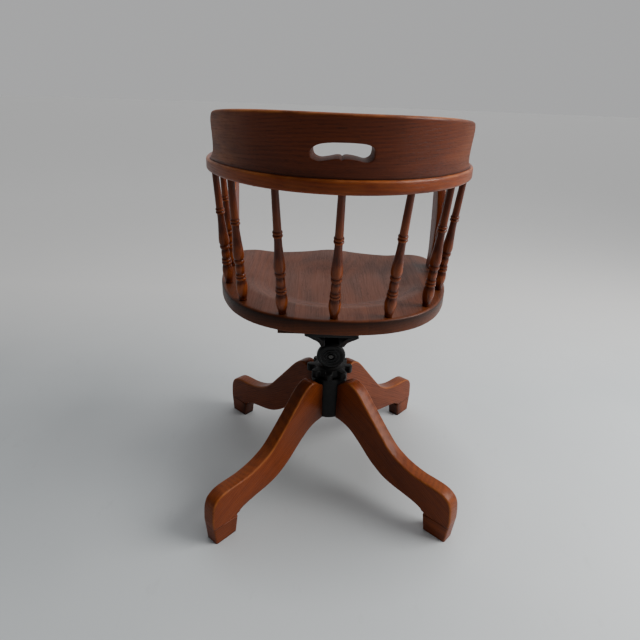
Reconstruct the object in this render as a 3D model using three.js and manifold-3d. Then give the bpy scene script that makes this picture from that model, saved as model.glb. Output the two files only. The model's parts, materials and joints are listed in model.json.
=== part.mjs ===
// Bankers swivel chair: turned oak upper part on a sprung iron tilt, a screw column and four oak legs.
// Millimetres, +Z up, the sitter faces -Y and the sitter's left is +X.
// Heights chain upwards from the floor, and the column's axis is the line that everything is set out from.
import * as THREE from "three";
import { mergeVertices } from "three/addons/utils/BufferGeometryUtils.js";
import Module from "manifold-3d";

// Clearances
const SEAT_GAP = 0.3; // between a seated piece and what carries it
const RUN_GAP = 0.5; // between a turning or sliding piece and its guide
const OVERRUN = 4; // how far a cutting tool passes a face

// Column and hand wheel
const HUB_DROP = 110; // hub's lower face below the height of the legs
const HUB_HEIGHT = 101;
const HUB_RADIUS = 41;
const HUB_BORE_RADIUS = 28;
const HUB_WEB = 16;
const HUB_CHAMFER = 2;
const SCREW_RADIUS = 12.5;
const SCREW_JOURNAL_RADIUS = 9;
const SCREW_JOURNAL_LENGTH = 12.5;
const SCREW_FOOT_CLEARANCE = 5;
const HEIGHT_TRAVEL = 66;
const KEY_WIDTH = 5;
const KEY_DEPTH = 3;
const COLLAR_RADIUS = 19;
const COLLAR_HEIGHT = 8;
const COLLAR_PIN_RADIUS = 2;
const THRUST_RADIUS = 30;
const THRUST_THICKNESS = 2;
const WHEEL_RADIUS = 52;
const WHEEL_THICKNESS = 20;
const WHEEL_LOBES = 8;
const WHEEL_LOBE_RADIUS = 8.5;
const WHEEL_BODY_RADIUS = 35;
const WHEEL_EDGE = 1.5;
const WHEEL_TURN = THREE.MathUtils.degToRad(42);
const BASE_TURN = THREE.MathUtils.degToRad(2.6);

// Legs and their glued foot blocks
const LEG_COUNT = 4;
const LEG_REACH = 354.5;
const LEG_HEIGHT = 270;
const LEG_THICKNESS = 32;
const LEG_EDGE = 3.5;
const FRONT_TOE_DROP = 7; // the front legs' toes stand this much lower than the rear ones
const FOOT_BLOCK_HEIGHT = 40;
const FOOT_NOTCH_RADIUS = 3.5;
const TENON_WIDTH = 12;
const TENON_DEPTH = 7;
const TENON_HEIGHT = 68;
const TENON_FLOOR = 16; // above the hub's lower face
const LEG_BOLT_RADIUS = 4;
const LEG_BOLT_LENGTH = 74;
const LEG_NUT_RADIUS = 7;
const LEG_NUT_THICKNESS = 6;
const LEG_BOLT_HEIGHTS = [30, 68]; // above the hub's lower face
const LEG_BOLT_STUB = 1; // end of the bolt that stands through its nut

// Yoke, tilt pin and seat bracket
const YOKE_LIFT = 4.4; // bare screw between the wheel and the yoke
const YOKE_HUB_RADIUS = 20;
const YOKE_HUB_HEIGHT = 15;
const YOKE_NECK_RADIUS = 13;
const PIN_HEIGHT = 28; // tilt axis above the yoke's lower face
const PIN_RADIUS = 5;
const PIN_HEAD_RADIUS = 8;
const PIN_HEAD_THICKNESS = 3.5;
const PIN_COLLAR_WIDTH = 5;
const PIN_BOSS_RADIUS = 12;
const CHEEK_GAP = 29; // clear width between the bracket's cheeks
const CHEEK_THICKNESS = 7;
const BRACKET_HEIGHT = 105.5; // plate's underside above the tilt axis
const PLATE_THICKNESS = 8;
const PLATE_WIDTH = 106;
const PLATE_REAR = 150;
const PLATE_FRONT = 122;
const PLATE_CORNER = 9;
const PLATE_SHIFT = 4; // the plate lies this much towards the sitter's left of the cheeks
const PLATE_SPOT_DEPTH = 14; // faces cut for the screw heads in the ends of the flares
const FLARE_START_SHARE = 0.42; // of the bracket's rise, where the cheeks begin to spread
const FLARE_BEND_SHARE = 0.8;
const FLARE_INSET = 40; // the flares' rear edge curves in this far below the plate's rear edge
const FLARE_DROP_SHARE = 0.38; // of the bracket's rise, where that curve ends
const FLARE_FOOT_SHARE = 0.66; // of the plate's half width, the channel's width at the plate

// Tension bolt and its spring, along an axis that falls towards the rear
const BOLT_SLOPE = THREE.MathUtils.degToRad(12);
const BOLT_OFFSET = 27.5; // from the tilt axis, square to the bolt
const BOLT_RADIUS = 5;
const BOLT_SWING = 5; // room for the bolt below it in the upright's notch
const UPRIGHT_START = 8;
const UPRIGHT_THICKNESS = 8;
const UPRIGHT_WIDTH = 24;
const UPRIGHT_ABOVE_BOLT = 12;
const WALL_THICKNESS = 8;
const BOSS_RADIUS = 13;
const BOSS_LENGTH = 17;
const KNOB_RADIUS = 31.3;
const KNOB_THICKNESS = 14;
const KNOB_EDGE = 2.5;
const KNOB_RIM_WIDTH = 7;
const KNOB_RIM_HEIGHT = 2;
const KNOB_RECESS_RADIUS = 8.6;
const KNOB_RECESS_DEPTH = 4.5;
const KNOB_EYE_WIDTH = 4;
const SPRING_WASHER_THICKNESS = 3;
const SPRING_WASHER_RADIUS = 12.5;
const SPRING_WASHER_HOLE = 6.6;
const SPRING_LENGTH = 45.5;
const SPRING_RADIUS = 10.4;
const SPRING_WIRE_RADIUS = 2;
const SPRING_TURNS = 6;
const SPRING_STEPS_PER_TURN = 8;
const SPRING_SIDES = 5;
const SQUARE_NUT_THICKNESS = 9;
const BOLT_END = 3; // threads that show past the square nut

// Seat, battens and screws
const BATTEN_THICKNESS = 20;
const BATTEN_WIDTH = 40;
const BATTEN_LENGTH = 216;
const BATTEN_REAR_RIGHT = 50;
const BATTEN_REAR_SETBACK = 4; // rear batten's edge behind the plate's rear edge
const BATTEN_FRONT_SETBACK = 8;
const SCREW_SHANK_RADIUS = 2.4;
const SCREW_HEAD_RADIUS = 4.6;
const SCREW_HEAD_HEIGHT = 2.4;
const SCREW_BITE = 12; // into the seat
const BATTEN_SCREW_INSET = 16;
const PLATE_SCREW_INSET = 8;
const SEAT_THICKNESS = 30;
const SEAT_HALF_WIDTH = 249;
const SEAT_REAR = 200.5;
const SEAT_FRONT = 262;
const SEAT_EDGE = 4.5;
const DISH_DEPTH = 13;
const DISH_HALF_WIDTH = 197;
const DISH_REAR = 136;
const DISH_CENTRE = 40; // in front of the column's axis
const POMMEL_HALF_WIDTH = 50;

// Spindles, arm supports, arm bow and crest rail
const SPINDLE_HEIGHT = 234.5; // from the seat's top to the bow's underside
const SPINDLE_RADIUS = 11.2; // at the urn, the thickest turning
const SPINDLE_SOCKET = 16;
const SPINDLE_SIDES = 8;
const CENTRE_SPINDLE_OFFSET = 3;
const SUPPORT_THICKNESS = 18;
const SUPPORT_SETBACK = 5.5; // outer face inside the seat's widest edge
const SUPPORT_SHIFT = -3; // both boards stand this much towards the sitter's right
const SUPPORT_EDGE = 2.5;
const SUPPORT_TENON_THICKNESS = 9;
const SUPPORT_TENON_LENGTH = 10;
const SUPPORT_FOOT = 40;
const SUPPORT_TOP = 63;
const SUPPORT_FOOT_CENTRE = -139;
const SUPPORT_TOP_CENTRE = -173.5;
const BOW_THICKNESS = 22.5;
const BOW_OVERHANG = 8; // past the seat's widest edge
const BOW_REAR = 281.6;
const ARM_FRONT = 238;
const BOW_EDGE = 5;
const CREST_HEIGHT = 88.5;
const CREST_THICKNESS = 21;
const CREST_SETBACK = 4;
const CREST_HALF_RUN = 293;
const CREST_SHIFT = 4; // along the bow, towards the sitter's left
const CREST_FLARE = 46;
const CREST_END_DROP = 6.5;
const CREST_TILT = 1.5; // the rail stands this much taller at the sitter's left end, and lower at the right
const CREST_LEAN = THREE.MathUtils.degToRad(16);
const SLOT_HALF_LENGTH = 47.5;
const SLOT_FLOOR = 27;
const SLOT_HEIGHT = 27.2;
const SLOT_OFFSET = 2.3;
const CREST_SCREW_SPREAD = 162;

// Places and heights that follow
const SUPPORT_MIDDLE = SEAT_HALF_WIDTH - SUPPORT_SETBACK - SUPPORT_THICKNESS / 2;
const BOW_HALF_WIDTH = SEAT_HALF_WIDTH + BOW_OVERHANG;
const HUB_BOTTOM = LEG_HEIGHT - HUB_DROP;
const HUB_TOP = HUB_BOTTOM + HUB_HEIGHT;
const THRUST_BOTTOM = HUB_TOP + SEAT_GAP;
const WHEEL_BOTTOM = THRUST_BOTTOM + THRUST_THICKNESS + SEAT_GAP;
const WHEEL_TOP = WHEEL_BOTTOM + WHEEL_THICKNESS;
const YOKE_BOTTOM = WHEEL_TOP + YOKE_LIFT;
const PIN_Z = YOKE_BOTTOM + PIN_HEIGHT;
const PLATE_BOTTOM = PIN_Z + BRACKET_HEIGHT;
const BATTEN_BOTTOM = PLATE_BOTTOM + PLATE_THICKNESS;
const SEAT_BOTTOM = BATTEN_BOTTOM + BATTEN_THICKNESS;
const SEAT_TOP = SEAT_BOTTOM + SEAT_THICKNESS;
const BOW_BOTTOM = SEAT_TOP + SPINDLE_HEIGHT;
const BOW_TOP = BOW_BOTTOM + BOW_THICKNESS;

// Shares, chosen by hand. Legs: [share of the reach, share of the rise], from the hub out along the top,
// round the foot and back underneath.
const legTopShares = [
  [0.06, 0.9], [0.12, 0.925], [0.15, 0.953], [0.185, 0.98], [0.224, 0.975], [0.278, 0.93], [0.361, 0.811],
  [0.451, 0.681], [0.544, 0.559], [0.618, 0.502], [0.694, 0.467], [0.77, 0.448], [0.846, 0.443],
  [0.908, 0.435], [0.951, 0.411], [0.979, 0.374], [0.994, 0.311], [1.0, 0.204],
];
const legFootShares = [[0.985, 0], [0.838, 0]];
const legUnderShares = [
  [0.821, 0.133], [0.798, 0.178], [0.739, 0.204], [0.663, 0.222], [0.584, 0.239], [0.513, 0.267],
  [0.451, 0.311], [0.395, 0.363], [0.338, 0.43], [0.282, 0.493], [0.226, 0.544], [0.164, 0.576],
  [0.107, 0.585], [0.06, 0.588],
];
// Seat: [share of the half width, share of the depth behind or before the axis], rear centre to front.
const seatShares = [
  [0, 1], [0.212, 0.984], [0.426, 0.918], [0.627, 0.778], [0.786, 0.564], [0.894, 0.298], [0.963, 0],
  [0.996, -0.25], [1.0, -0.45], [0.99, -0.66], [0.962, -0.81], [0.895, -0.885], [0.74, -0.92],
  [0.5, -0.935], [0.25, -0.975], [0, -1],
];
// Bow: shares of its half width and of its rear or arm length, along the outer edge and back inside.
const bowOuterShares = [
  [0, 1], [0.28, 0.952], [0.52, 0.822], [0.707, 0.645], [0.848, 0.447], [0.949, 0.232], [0.998, 0],
  [1.008, -0.27], [1.016, -0.55], [1.03, -0.77],
];
const armEndShares = [[1.02, -0.9], [0.965, -0.985], [0.88, -1.0], [0.79, -0.965], [0.735, -0.87]];
const bowInnerShares = [
  [0.735, -0.7], [0.762, -0.45], [0.772, -0.2], [0.765, 0], [0.735, 0.2], [0.65, 0.4], [0.52, 0.575],
  [0.36, 0.7], [0.18, 0.775], [0, 0.8],
];
// Spindles, from the centre outwards: foot on the seat and head in the bow, as shares of the plan sizes.
const spindleFootShares = [[0, 0.926], [0.39, 0.856], [0.713, 0.562], [0.886, 0.087], [0.938, -0.373]];
const spindleHeadShares = [[0, 0.954], [0.407, 0.841], [0.722, 0.551], [0.889, 0.248], [0.935, -0.254]];
const spindleNames = ["centre", "rear", "quarter", "side", "front"];
// Turned profile: [share of the visible length down from the bow, share of the urn's radius].
const turningShares = [
  [0, 0.54], [0.29, 0.63], [0.302, 0.76], [0.316, 0.76], [0.32, 0.65], [0.326, 0.79],
  [0.34, 0.79], [0.348, 0.63], [0.38, 0.6], [0.46, 0.7], [0.53, 0.84], [0.595, 0.93], [0.625, 0.77],
  [0.637, 0.87], [0.652, 0.87], [0.668, 0.68], [0.7, 0.78], [0.745, 0.76], [0.765, 0.86],
  [0.787, 0.9], [0.803, 0.88], [0.814, 0.8], [0.85, 0.98], [0.885, 1.0], [0.93, 0.87], [0.98, 0.66], [1.0, 0.65],
];
// Arm support seen from the side: [share of the rise, share of the foot's half width], rear and front edge.
const supportRearShares = [
  [0, 1], [0.09, 1.1], [0.2, 1.35], [0.34, 1.65], [0.51, 1.75], [0.66, 1.35], [0.79, 0.65], [0.9, 0.1], [1, -0.15],
];
const supportFrontShares = [
  [1, -3.3], [0.9, -2.45], [0.77, -1.8], [0.66, -1.5], [0.51, -1.15], [0.34, -0.82], [0.2, -0.62], [0.09, -0.75],
  [0, -1],
];
// Bracket: [share of the inset, share of the drop] of the flares' rear edge, up to the plate.
const flareRearShares = [[1, 1], [0.72, 0.66], [0.43, 0.42], [0.2, 0.24], [0.07, 0.1], [0, 0]];
// Crest: [share of the rise, share of the flare past the main run, share of the thickness].
const crestShares = [
  [0, 1, 1], [0.05, 0.72, 1], [0.12, 0.32, 1], [0.24, 0.08, 1], [0.5, 0, 1], [0.74, 0.02, 1],
  [0.86, -0.06, 1], [0.93, -0.2, 0.95], [0.975, -0.4, 0.78], [1, -0.66, 0.42],
];
const crestEndShares = [[0.95, 1], [0.985, 0.93], [1, 0.72]];
// Hand slot: [share of the half length, share of the height], its bottom edge has two humps and a notch.
const slotShares = [
  [-1, 0.5], [-0.95, 0.77], [-0.76, 0.93], [-0.42, 0.99], [0, 1], [0.42, 0.97], [0.72, 0.875], [0.93, 0.67],
  [1, 0.4], [0.93, 0.12], [0.74, 0], [0.46, 0.06], [0.18, 0.155], [0.06, 0.145], [0, 0.085], [-0.06, 0.145],
  [-0.2, 0.165], [-0.48, 0.1], [-0.78, 0], [-0.95, 0.14],
];

// Colours seen in the photograph
const finish = {
  oakDark: { color: 0x54301d, roughness: 0.42, metalness: 0 },
  oakSeat: { color: 0x6e4128, roughness: 0.45, metalness: 0 },
  oakLeg: { color: 0x8a4f24, roughness: 0.4, metalness: 0 },
  oakRaw: { color: 0x7a5436, roughness: 0.7, metalness: 0 },
  iron: { color: 0x26272a, roughness: 0.5, metalness: 0.6 },
  steel: { color: 0x4a4a4a, roughness: 0.4, metalness: 0.9 },
};

const wasm = await Module();
wasm.setup();

// Solids from geometry and back
function toSolid(geometry) {
  const bare = geometry.clone();
  bare.deleteAttribute("normal");
  bare.deleteAttribute("uv");
  const merged = mergeVertices(bare);
  const mesh = new wasm.Mesh({
    numProp: 3,
    vertProperties: new Float32Array(merged.attributes.position.array),
    triVerts: new Uint32Array(merged.index.array),
  });
  return new wasm.Manifold(mesh);
}

function toGeometry(solid) {
  const mesh = solid.getMesh();
  const geometry = new THREE.BufferGeometry();
  geometry.setAttribute("position", new THREE.BufferAttribute(mesh.vertProperties, 3));
  geometry.setIndex(new THREE.BufferAttribute(mesh.triVerts, 1));
  return geometry;
}

function cut(geometry, tools) {
  let solid = toSolid(geometry);
  for (const tool of tools) {
    solid = solid.subtract(toSolid(tool));
  }
  return toGeometry(solid);
}

function join(geometries) {
  let solid = toSolid(geometries[0]);
  for (const geometry of geometries.slice(1)) {
    solid = solid.add(toSolid(geometry));
  }
  return toGeometry(solid);
}

function overlap(geometry, other) {
  return toGeometry(toSolid(geometry).intersect(toSolid(other)));
}

// Basic shapes
function block(width, depth, height, x, y, z) {
  return new THREE.BoxGeometry(width, depth, height).translate(x, y, z);
}

function bar(radius, length, sides) {
  return new THREE.CylinderGeometry(radius, radius, length, sides).rotateX(Math.PI / 2);
}

function turned(profile, sides) {
  const points = profile.map(([radius, z]) => new THREE.Vector2(radius, z));
  return new THREE.LatheGeometry(points, sides).rotateX(Math.PI / 2);
}

function extruded(points, thickness, edge, edgeSteps) {
  const shape = new THREE.Shape(points);
  const geometry = new THREE.ExtrudeGeometry(shape, {
    depth: thickness - 2 * edge,
    steps: 1,
    bevelEnabled: edge > 0,
    bevelThickness: edge,
    bevelSize: edge,
    bevelOffset: -edge,
    bevelSegments: edgeSteps,
  });
  return geometry.translate(0, 0, edge - thickness / 2);
}

function scaled(shares, sizeX, sizeY) {
  return shares.map(([x, y]) => new THREE.Vector2(x * sizeX, y * sizeY));
}

function smooth(points, count) {
  return new THREE.SplineCurve(points).getPoints(count);
}

function smoothstep(low, high, value) {
  return THREE.MathUtils.smoothstep(value, low, high);
}

// Model tree: the base, with the screw that its key guides, keeps its own turn under the seat
const chair = new THREE.Group();
const base = new THREE.Group();
base.rotation.z = BASE_TURN;
chair.add(base);

function add(parent, name, geometry, material) {
  const mesh = new THREE.Mesh(geometry, new THREE.MeshStandardMaterial(material));
  mesh.name = name;
  parent.add(mesh);
  return mesh;
}

// Legs, laid out along +X and turned into place
const legAngles = [45, 135, 225, 315].map((degrees) => THREE.MathUtils.degToRad(degrees));
const legNames = ["rear_left", "rear_right", "front_right", "front_left"];

function legSolid(toeDrop) {
  const topLine = scaled(legTopShares, LEG_REACH, LEG_HEIGHT);
  for (const point of topLine) {
    point.y -= toeDrop * smoothstep(0.38 * LEG_REACH, 0.7 * LEG_REACH, point.x);
  }
  const top = smooth(topLine, 22);
  const foot = scaled(legFootShares, LEG_REACH, LEG_HEIGHT);
  const under = smooth(scaled(legUnderShares, LEG_REACH, LEG_HEIGHT), 15);
  const outline = [...top, ...foot, ...under].reverse();
  const slab = extruded(outline, LEG_THICKNESS, LEG_EDGE, 1).rotateX(Math.PI / 2);
  const [notchShare] = legUnderShares;
  const notch = bar(FOOT_NOTCH_RADIUS, LEG_THICKNESS + OVERRUN, 12).rotateX(Math.PI / 2);
  notch.translate(notchShare[0] * LEG_REACH - FOOT_NOTCH_RADIUS / 2, 0, FOOT_BLOCK_HEIGHT);
  const hubSpace = bar(HUB_RADIUS + SEAT_GAP, LEG_HEIGHT + OVERRUN, 32);
  hubSpace.translate(0, 0, HUB_BOTTOM + HUB_HEIGHT / 2);
  return cut(slab, [notch, hubSpace]);
}

function tenonBlock(gap) {
  const inner = HUB_RADIUS - TENON_DEPTH - gap;
  const outer = HUB_RADIUS + TENON_DEPTH;
  const height = TENON_HEIGHT + 2 * gap;
  const middle = HUB_BOTTOM + TENON_FLOOR + TENON_HEIGHT / 2;
  return block(outer - inner, TENON_WIDTH + 2 * gap, height, (inner + outer) / 2, 0, middle);
}

function legBolt(radius, gap) {
  const start = HUB_BORE_RADIUS - LEG_NUT_THICKNESS - LEG_BOLT_STUB;
  const shank = bar(radius, LEG_BOLT_LENGTH + gap, 8).rotateY(Math.PI / 2);
  return shank.translate(start + (LEG_BOLT_LENGTH + gap) / 2, 0, 0);
}

const floorHalf = block(
  4 * LEG_REACH, 4 * LEG_REACH, 2 * FOOT_BLOCK_HEIGHT, 0, 0, 0,
);
const boltHoles = LEG_BOLT_HEIGHTS.map((height) =>
  legBolt(LEG_BOLT_RADIUS + SEAT_GAP, SEAT_GAP).translate(0, 0, HUB_BOTTOM + height));

legAngles.forEach((angle, index) => {
  const whole = legSolid(legNames[index].startsWith("front") ? FRONT_TOE_DROP : 0);
  const upper = cut(join([cut(whole, [floorHalf]), tenonBlock(0)]), boltHoles);
  const block = overlap(whole, floorHalf);
  add(base, `leg_${legNames[index]}`, upper, finish.oakLeg).rotation.z = angle;
  add(base, `foot_block_${legNames[index]}`, block, finish.oakLeg).rotation.z = angle;
});

// A leg bolt with its nut, which seats on a spot face inside the hub
const nutOuter = HUB_BORE_RADIUS + SEAT_GAP;
const nut = bar(LEG_NUT_RADIUS, LEG_NUT_THICKNESS, 6).rotateY(Math.PI / 2);
nut.translate(nutOuter - LEG_NUT_THICKNESS / 2 - SEAT_GAP, 0, 0);
const boltWithNut = join([legBolt(LEG_BOLT_RADIUS, 0), nut]);

legAngles.forEach((angle, index) => {
  ["lower", "upper"].forEach((level, row) => {
    const bolt = add(base, `leg_bolt_${legNames[index]}_${level}`, boltWithNut, finish.steel);
    bolt.rotation.z = angle;
    bolt.position.z = HUB_BOTTOM + LEG_BOLT_HEIGHTS[row];
  });
});

// Hub: a cast iron cup, open below, with the legs' mortises and the screw's keyway
function hubGeometry() {
  const inner = SCREW_RADIUS + RUN_GAP;
  const cup = turned([
    [HUB_BORE_RADIUS, HUB_BOTTOM],
    [HUB_RADIUS - HUB_CHAMFER, HUB_BOTTOM],
    [HUB_RADIUS, HUB_BOTTOM + HUB_CHAMFER],
    [HUB_RADIUS, HUB_TOP - HUB_CHAMFER],
    [HUB_RADIUS - HUB_CHAMFER, HUB_TOP],
    [inner, HUB_TOP],
    [inner, HUB_TOP - HUB_WEB],
    [HUB_BORE_RADIUS, HUB_TOP - HUB_WEB],
    [HUB_BORE_RADIUS, HUB_BOTTOM],
  ], 32).rotateZ(Math.PI / 2);
  const tools = [keyBlock(SEAT_GAP)];
  for (const angle of legAngles) {
    tools.push(tenonBlock(SEAT_GAP).rotateZ(angle));
    for (const height of LEG_BOLT_HEIGHTS) {
      const hole = legBolt(LEG_BOLT_RADIUS + SEAT_GAP, SEAT_GAP);
      const face = bar(LEG_NUT_RADIUS + 2 * SEAT_GAP, HUB_BORE_RADIUS / 2, 8).rotateY(Math.PI / 2);
      face.translate(nutOuter - HUB_BORE_RADIUS / 4, 0, 0);
      for (const tool of [hole, face]) {
        tools.push(tool.rotateZ(angle).translate(0, 0, HUB_BOTTOM + height));
      }
    }
  }
  return cut(cup, tools);
}

function keyBlock(gap) {
  const innerFace = SCREW_RADIUS - KEY_DEPTH + RUN_GAP;
  const outerFace = SCREW_RADIUS + 2 * KEY_DEPTH + gap;
  const height = HUB_WEB - 2 * SEAT_GAP;
  const block1 = block(
    KEY_WIDTH + 2 * gap, outerFace - innerFace, height + 4 * gap,
    0, (innerFace + outerFace) / 2, HUB_TOP - HUB_WEB / 2,
  );
  return block1;
}

add(base, "hub", hubGeometry(), finish.iron);
add(base, "screw_key", keyBlock(0), finish.steel);
add(base, "thrust_washer", turned([
  [SCREW_RADIUS + RUN_GAP, THRUST_BOTTOM],
  [THRUST_RADIUS, THRUST_BOTTOM],
  [THRUST_RADIUS, THRUST_BOTTOM + THRUST_THICKNESS],
  [SCREW_RADIUS + RUN_GAP, THRUST_BOTTOM + THRUST_THICKNESS],
  [SCREW_RADIUS + RUN_GAP, THRUST_BOTTOM],
], 24), finish.steel);

// Star hand wheel: the height nut, with eight finger lobes
function wheelGeometry() {
  const body = turned([
    [0, 0],
    [WHEEL_BODY_RADIUS - WHEEL_EDGE, 0],
    [WHEEL_BODY_RADIUS, WHEEL_EDGE],
    [WHEEL_BODY_RADIUS, WHEEL_THICKNESS - WHEEL_EDGE],
    [WHEEL_BODY_RADIUS - WHEEL_EDGE, WHEEL_THICKNESS],
    [0, WHEEL_THICKNESS],
  ], 32);
  const pieces = [body];
  const tip = new THREE.EllipseCurve(
    WHEEL_RADIUS - WHEEL_LOBE_RADIUS, 0, WHEEL_LOBE_RADIUS, WHEEL_LOBE_RADIUS,
    -Math.PI / 2, Math.PI / 2, false,
  ).getPoints(5);
  const finger = [
    new THREE.Vector2(WHEEL_BODY_RADIUS / 2, WHEEL_LOBE_RADIUS / 2),
    new THREE.Vector2(WHEEL_BODY_RADIUS / 2, -WHEEL_LOBE_RADIUS / 2),
    new THREE.Vector2(WHEEL_BODY_RADIUS - WHEEL_EDGE, -WHEEL_LOBE_RADIUS),
    ...tip,
    new THREE.Vector2(WHEEL_BODY_RADIUS - WHEEL_EDGE, WHEEL_LOBE_RADIUS),
  ];
  for (let index = 0; index < WHEEL_LOBES; index += 1) {
    const lobe = extruded(finger, WHEEL_THICKNESS, WHEEL_EDGE, 1);
    lobe.translate(0, 0, WHEEL_THICKNESS / 2);
    pieces.push(lobe.rotateZ((index * 2 * Math.PI) / WHEEL_LOBES));
  }
  const bore = bar(SCREW_RADIUS + RUN_GAP, WHEEL_THICKNESS + OVERRUN, 24);
  bore.translate(0, 0, WHEEL_THICKNESS / 2);
  return cut(join(pieces), [bore]);
}

const wheel = add(chair, "star_wheel", wheelGeometry(), finish.iron);
wheel.rotation.z = WHEEL_TURN;
wheel.position.z = WHEEL_BOTTOM;

// Screw column with its keyway, stop collar and cross pin
const SCREW_BOTTOM = HUB_BOTTOM + SCREW_FOOT_CLEARANCE;
const SCREW_TOP = YOKE_BOTTOM - SEAT_GAP;
const COLLAR_BOTTOM = SCREW_BOTTOM + SCREW_FOOT_CLEARANCE;
const COLLAR_TOP = Math.min(COLLAR_BOTTOM + COLLAR_HEIGHT, HUB_TOP - HUB_WEB - HEIGHT_TRAVEL - RUN_GAP);
const PIN_HOLE_Z = (COLLAR_BOTTOM + COLLAR_TOP) / 2;

function crossPin(gap) {
  const pin = bar(COLLAR_PIN_RADIUS + gap, 2 * (COLLAR_RADIUS - SEAT_GAP), 8).rotateY(Math.PI / 2);
  return pin.translate(0, 0, PIN_HOLE_Z);
}

const screwBlank = turned([
  [0, SCREW_BOTTOM],
  [SCREW_RADIUS, SCREW_BOTTOM],
  [SCREW_RADIUS, SCREW_TOP],
  [SCREW_JOURNAL_RADIUS, SCREW_TOP],
  [SCREW_JOURNAL_RADIUS, SCREW_TOP + SCREW_JOURNAL_LENGTH],
  [0, SCREW_TOP + SCREW_JOURNAL_LENGTH],
], 24);
const grooveFoot = HUB_TOP - HUB_WEB - HEIGHT_TRAVEL - RUN_GAP;
const grooveTop = HUB_TOP + RUN_GAP;
const groove = block(
  KEY_WIDTH + 2 * RUN_GAP, 2 * KEY_DEPTH, grooveTop - grooveFoot,
  0, SCREW_RADIUS, (grooveTop + grooveFoot) / 2,
);
add(base, "screw_column", cut(screwBlank, [groove, crossPin(SEAT_GAP)]), finish.steel);
add(base, "stop_collar", cut(turned([
  [SCREW_RADIUS + SEAT_GAP, COLLAR_BOTTOM],
  [COLLAR_RADIUS, COLLAR_BOTTOM],
  [COLLAR_RADIUS, COLLAR_TOP],
  [SCREW_RADIUS + SEAT_GAP, COLLAR_TOP],
  [SCREW_RADIUS + SEAT_GAP, COLLAR_BOTTOM],
], 24), [crossPin(SEAT_GAP)]), finish.iron);
add(base, "collar_pin", crossPin(0), finish.steel);

// Places along the tension bolt: along is measured towards the rear, above is square to it from the tilt axis
function onBolt(geometry) {
  const turn = -(Math.PI / 2 + BOLT_SLOPE);
  return geometry.rotateX(turn).translate(0, BOLT_FOOT.y, BOLT_FOOT.z);
}

function boltPoint(along, above) {
  const y = above * Math.sin(BOLT_SLOPE) + along * Math.cos(BOLT_SLOPE);
  const z = PIN_Z + above * Math.cos(BOLT_SLOPE) - along * Math.sin(BOLT_SLOPE);
  return new THREE.Vector2(y, z);
}

const BOLT_FOOT = {
  y: BOLT_OFFSET * Math.sin(BOLT_SLOPE),
  z: PIN_Z + BOLT_OFFSET * Math.cos(BOLT_SLOPE),
};
const WALL_START = UPRIGHT_START + UPRIGHT_THICKNESS + RUN_GAP;
const BOSS_END = WALL_START + WALL_THICKNESS + BOSS_LENGTH;
const KNOB_START = BOSS_END + RUN_GAP;
const KNOB_END = KNOB_START + KNOB_THICKNESS;
const SPRING_REAR = UPRIGHT_START - SEAT_GAP - SPRING_WASHER_THICKNESS - SEAT_GAP;
const SPRING_FRONT = SPRING_REAR - SPRING_LENGTH;
const NUT_REAR = SPRING_FRONT - SEAT_GAP;
const NUT_FRONT = NUT_REAR - SQUARE_NUT_THICKNESS;
const BOLT_REAR = KNOB_END - SEAT_GAP;
const BOLT_FRONT = NUT_FRONT - BOLT_END;
const PIN_BOSS_HALF = CHEEK_GAP / 2 - SEAT_GAP;
const CHEEK_OUTER = CHEEK_GAP / 2 + CHEEK_THICKNESS;

function alongBolt(radius, start, end, sides) {
  return onBolt(bar(radius, end - start, sides).translate(0, 0, (start + end) / 2));
}

function boltBlock(width, start, end, low, high) {
  // low and high are heights above the tilt axis, and the bolt frame's second axis points down
  const middle = BOLT_OFFSET - (low + high) / 2;
  return onBolt(block(width, high - low, end - start, 0, middle, (start + end) / 2));
}

// Yoke: turns on the screw's journal, carries the tilt pin and the notched upright that the spring pushes
function yokeGeometry() {
  const hub = turned([
    [0, YOKE_BOTTOM],
    [YOKE_HUB_RADIUS, YOKE_BOTTOM],
    [YOKE_HUB_RADIUS, YOKE_BOTTOM + YOKE_HUB_HEIGHT],
    [YOKE_NECK_RADIUS, YOKE_BOTTOM + YOKE_HUB_HEIGHT],
    [YOKE_NECK_RADIUS, PIN_Z],
    [0, PIN_Z],
  ], 24);
  const boss = bar(PIN_BOSS_RADIUS, 2 * PIN_BOSS_HALF, 24).rotateY(Math.PI / 2).translate(0, 0, PIN_Z);
  const uprightTop = BOLT_OFFSET + UPRIGHT_ABOVE_BOLT;
  const upright = boltBlock(UPRIGHT_WIDTH, UPRIGHT_START, UPRIGHT_START + UPRIGHT_THICKNESS, 0, uprightTop);
  const notch = boltBlock(
    2 * (BOLT_RADIUS + RUN_GAP),
    UPRIGHT_START - OVERRUN, UPRIGHT_START + UPRIGHT_THICKNESS + OVERRUN,
    BOLT_OFFSET - BOLT_RADIUS - BOLT_SWING, uprightTop + OVERRUN,
  );
  const socketDepth = SCREW_JOURNAL_LENGTH + RUN_GAP;
  const socket = bar(SCREW_JOURNAL_RADIUS + RUN_GAP, socketDepth + OVERRUN, 24);
  socket.translate(0, 0, YOKE_BOTTOM + (socketDepth - OVERRUN) / 2);
  const pinHole = bar(PIN_RADIUS + RUN_GAP, CHEEK_GAP, 16).rotateY(Math.PI / 2).translate(0, 0, PIN_Z);
  return cut(join([hub, boss, upright]), [notch, socket, pinHole]);
}

add(chair, "tilt_yoke", yokeGeometry(), finish.iron);

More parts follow.
